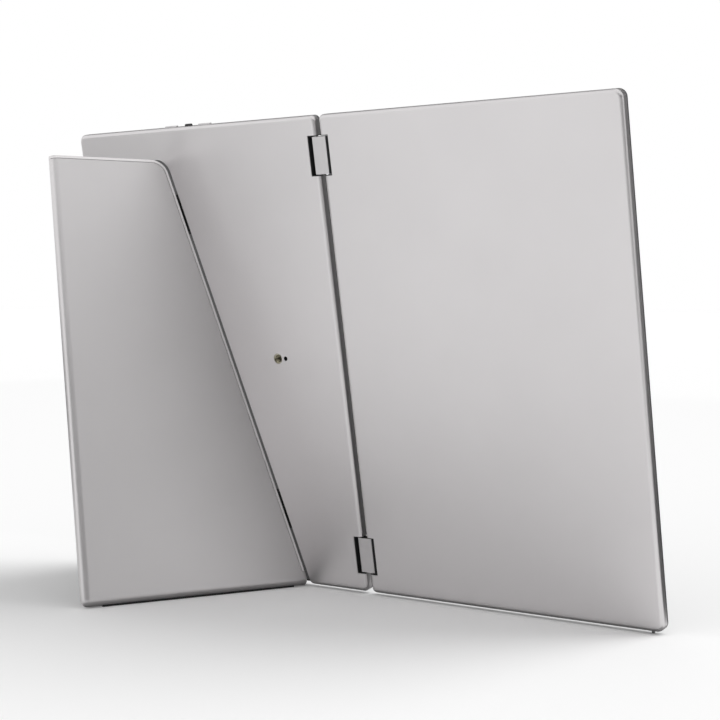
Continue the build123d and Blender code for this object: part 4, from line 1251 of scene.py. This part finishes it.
    def screws(self) -> None:
        """Sets the cross-head screws that hold the hinge arms to the flap."""
        head = self.screw()
        low, *others = self.screw_heights
        head.location = Vector((self.screw_out, low, self.head_seat)) * MM
        rest = [Workbench.copy(head, Vector((0.0, height - low, 0.0)) * MM) for height in others]
        whole = Workbench.join("stand_cross_screws", [head, *rest], self.frames.hinge)
        self.add(whole, Body.STAND, Slot.STEEL, self.finishes.STEEL)
        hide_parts("stand_arm_screws")

    def build(self) -> None:
        """Models the rim and the screws."""
        self.rim()
        self.screws()


@dataclass(frozen=True)
class Flag:
    """A grey flag beside or under the set, which only reflections show; those under the object are painted
    shade.

    Attributes:
        name: Its name.
        tone: Its linear colour.
    """

    name: str
    tone: float

    def hide(self, piece: Piece) -> None:
        """Paints the flag and keeps it out of the picture and off the floor's light.

        Args:
            piece: The flag's object.
        """
        piece.name = f"flag_{self.name}"
        piece.data.materials.append(Graph(piece.name).plain(self.tone, roughness=1.0, specular=0.0))
        piece.visible_camera = piece.visible_diffuse = piece.visible_shadow = False


@dataclass(frozen=True)
class Drape(Flag):
    """A flag that hangs upright round the set.

    Attributes:
        start: The angle at which it starts, counted from +X, in degrees.
        end: The angle at which it ends.
        height: How high it hangs, in metres.
        radius: How far off it hangs, in metres.
    """

    start: float
    end: float
    height: float = 1.0
    radius: float = 2.2

    def covers(self, place: Vector) -> bool:
        """Returns whether a place round the set is within the drape's angles."""
        turn = math.degrees(math.atan2(place.y, place.x)) % 360.0
        return self.start <= turn <= self.end or self.start <= turn + 360.0 <= self.end

    def set_up(self) -> None:
        """Builds the drape as a part of an upright ring."""
        ring = Workbench.start(
            bpy.ops.mesh.primitive_cylinder_add, vertices=144, radius=self.radius, depth=self.height,
            end_fill_type="NOTHING", location=(0.0, 0.0, self.height / 2),
        )
        Workbench.pick(ring, "FACE", lambda middle: not self.covers(middle))
        bpy.ops.mesh.delete(type="FACE")
        bpy.ops.object.mode_set(mode="OBJECT")
        self.hide(ring)


@dataclass(frozen=True)
class Mat(Flag):
    """A flag that lies on the floor.

    Attributes:
        middle: Its middle on the floor, in metres.
        size: Its length and width.
        turn: How far it is turned from +X, in degrees.
        rise: How far above the floor it lies.
    """

    middle: tuple[float, float]
    size: tuple[float, float]
    turn: float = 0.0
    rise: float = 0.0005

    def set_up(self) -> None:
        """Builds the mat as a flat sheet just above the floor."""
        place = (*self.middle, self.rise)
        sheet = Workbench.start(bpy.ops.mesh.primitive_plane_add, size=1.0, location=place)
        sheet.scale = (*self.size, 1.0)
        sheet.rotation_euler = (0.0, 0.0, math.radians(self.turn))
        self.hide(sheet)


@dataclass
class Studio:
    """The camera, the floor and the light around the object.

    Attributes:
        eye: Where the camera stands, in metres.
        aim: The point that it looks at.
        lens: Its focal length in millimetres.
        sensor: The width of its sensor.
        reach: The nearest and the farthest that it sees.
        roll: Its tilt about its own view line, in degrees.
        floor_size: The floor's width in metres.
        floor_tone: The floor's linear colour.
        sky: How strongly the white surround lights matt surfaces.
        sun: The strength of the soft key light.
        sun_spread: The angle that the key light fills, in degrees.
        sun_way: The direction in which it shines.
        flags: The drapes and mats that give the metal its darker edges; the two mats under the panels and
            the flap are painted shade under them, seen only in reflections.
    """

    eye: Vector = field(default_factory=lambda: Vector((-0.60583, 0.75407, 0.19476)))
    aim: Vector = field(default_factory=lambda: Vector((0.00826, -0.06959, 0.15391)))
    lens: float = 78.365
    sensor: float = 36.0
    reach: tuple[float, float] = (0.01, 50.0)
    roll: float = 0.07
    floor_size: float = 40.0
    floor_tone: float = 0.95
    sky: float = 0.72
    sun: float = 1.5
    sun_spread: float = 50.0
    sun_way: Vector = field(default_factory=lambda: Vector((0.55, 0.7, -0.9)))
    flags: tuple[Drape | Mat, ...] = (
        Drape("behind_camera", 0.1, 88.0, 177.0),
        Drape("behind_screens", 0.2, 208.0, 353.0, 4.0),
        Drape("low_left", 0.12, 345.0, 406.0, 0.2, 0.95),
        Mat("behind_screens_floor", 0.06, (0.4, -1.055), (3.6, 1.89)),
        Mat("beside_camera", 0.35, (-0.825, 0.475), (0.75, 0.65)),
        # Painted shade: these two dark mats under the panels and the flap stand in for the shade beneath
        # them, in reflections.
        Mat("shade_under_panels", 0.3, (0.0, -0.077), (0.43, 0.025)),
        Mat("shade_under_flap", 0.4, (0.081, 0.005), (0.165, 0.011), 67.0),
    )

    def camera(self) -> None:
        """Sets the camera at the photograph's angle."""
        data = bpy.data.cameras.new("view_camera")
        data.lens = self.lens
        data.sensor_width = self.sensor
        data.clip_start, data.clip_end = self.reach
        camera = bpy.data.objects.new("view_camera", data)
        bpy.context.scene.collection.objects.link(camera)
        turn = (self.aim - self.eye).to_track_quat("-Z", "Y").to_matrix().to_4x4()
        tilt = Matrix.Rotation(math.radians(self.roll), 4, "Z")
        camera.matrix_world = Matrix.Translation(self.eye) @ turn @ tilt
        bpy.context.scene.camera = camera

    def floor(self) -> None:
        """Lays a plain pale floor that takes the object's shadow."""
        origin = (0.0, 0.0, 0.0)
        plane = Workbench.start(bpy.ops.mesh.primitive_plane_add, size=self.floor_size, location=origin)
        plane.name = "studio_floor"
        paint = Graph("pale_floor").plain(self.floor_tone, roughness=0.9, specular=0.1)
        plane.data.materials.append(paint)

    def surround(self) -> None:
        """Makes a white surround for the camera and for reflections, and a softer one for the rest."""
        world = bpy.data.worlds.new("white_surround")
        bpy.context.scene.world = world
        world.use_nodes = True
        world.node_tree.nodes.clear()
        tree = Tree(world.node_tree)
        output = tree.node("ShaderNodeOutputWorld")
        ray = tree.node("ShaderNodeLightPath").outputs
        direct = tree.math("MAXIMUM", ray["Is Camera Ray"], ray["Is Glossy Ray"])
        direct = tree.math("MAXIMUM", direct, ray["Is Transmission Ray"])
        choose = tree.node("ShaderNodeMixShader")
        tree.link(direct, choose.inputs[0])
        for place, strength in ((1, self.sky), (2, 1.0)):
            glow = tree.node("ShaderNodeBackground", {"Color": (1.0, 1.0, 1.0, 1.0), "Strength": strength})
            tree.link(glow.outputs[0], choose.inputs[place])
        tree.link(choose.outputs[0], output.inputs["Surface"])

    def key_light(self) -> None:
        """Hangs a broad soft key light, high up and behind the screens."""
        data = bpy.data.lights.new("soft_key", "SUN")
        data.energy = self.sun
        data.angle = math.radians(self.sun_spread)
        lamp = bpy.data.objects.new("soft_key", data)
        bpy.context.scene.collection.objects.link(lamp)
        lamp.matrix_world = self.sun_way.to_track_quat("-Z", "Y").to_matrix().to_4x4()
        lamp.visible_glossy = False

    def build(self) -> None:
        """Sets up the whole studio."""
        bpy.context.scene.view_settings.view_transform = "Standard"
        self.camera()
        self.floor()
        self.surround()
        self.key_light()
        for flag in self.flags:
            flag.set_up()


def main() -> None:
    """Loads the solids, dresses them, adds the fine pieces and sets up the studio."""
    logging.basicConfig(level=logging.INFO, format="%(name)s: %(message)s")
    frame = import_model()
    sizes = Sizes()
    finishes = Finishes()
    frames = Frames.find({joint["name"]: joint for joint in frame["joints"]}, sizes)
    for kind in (MainDisplay, SecondDisplay, Controls, FoldHinge, Stand):
        group = kind(finishes, frames, sizes)
        group.dress(frame["nodes"])
        group.build()
        log.info("built %s", kind.__name__)
    Studio().build()


if __name__ == "__main__":
    main()
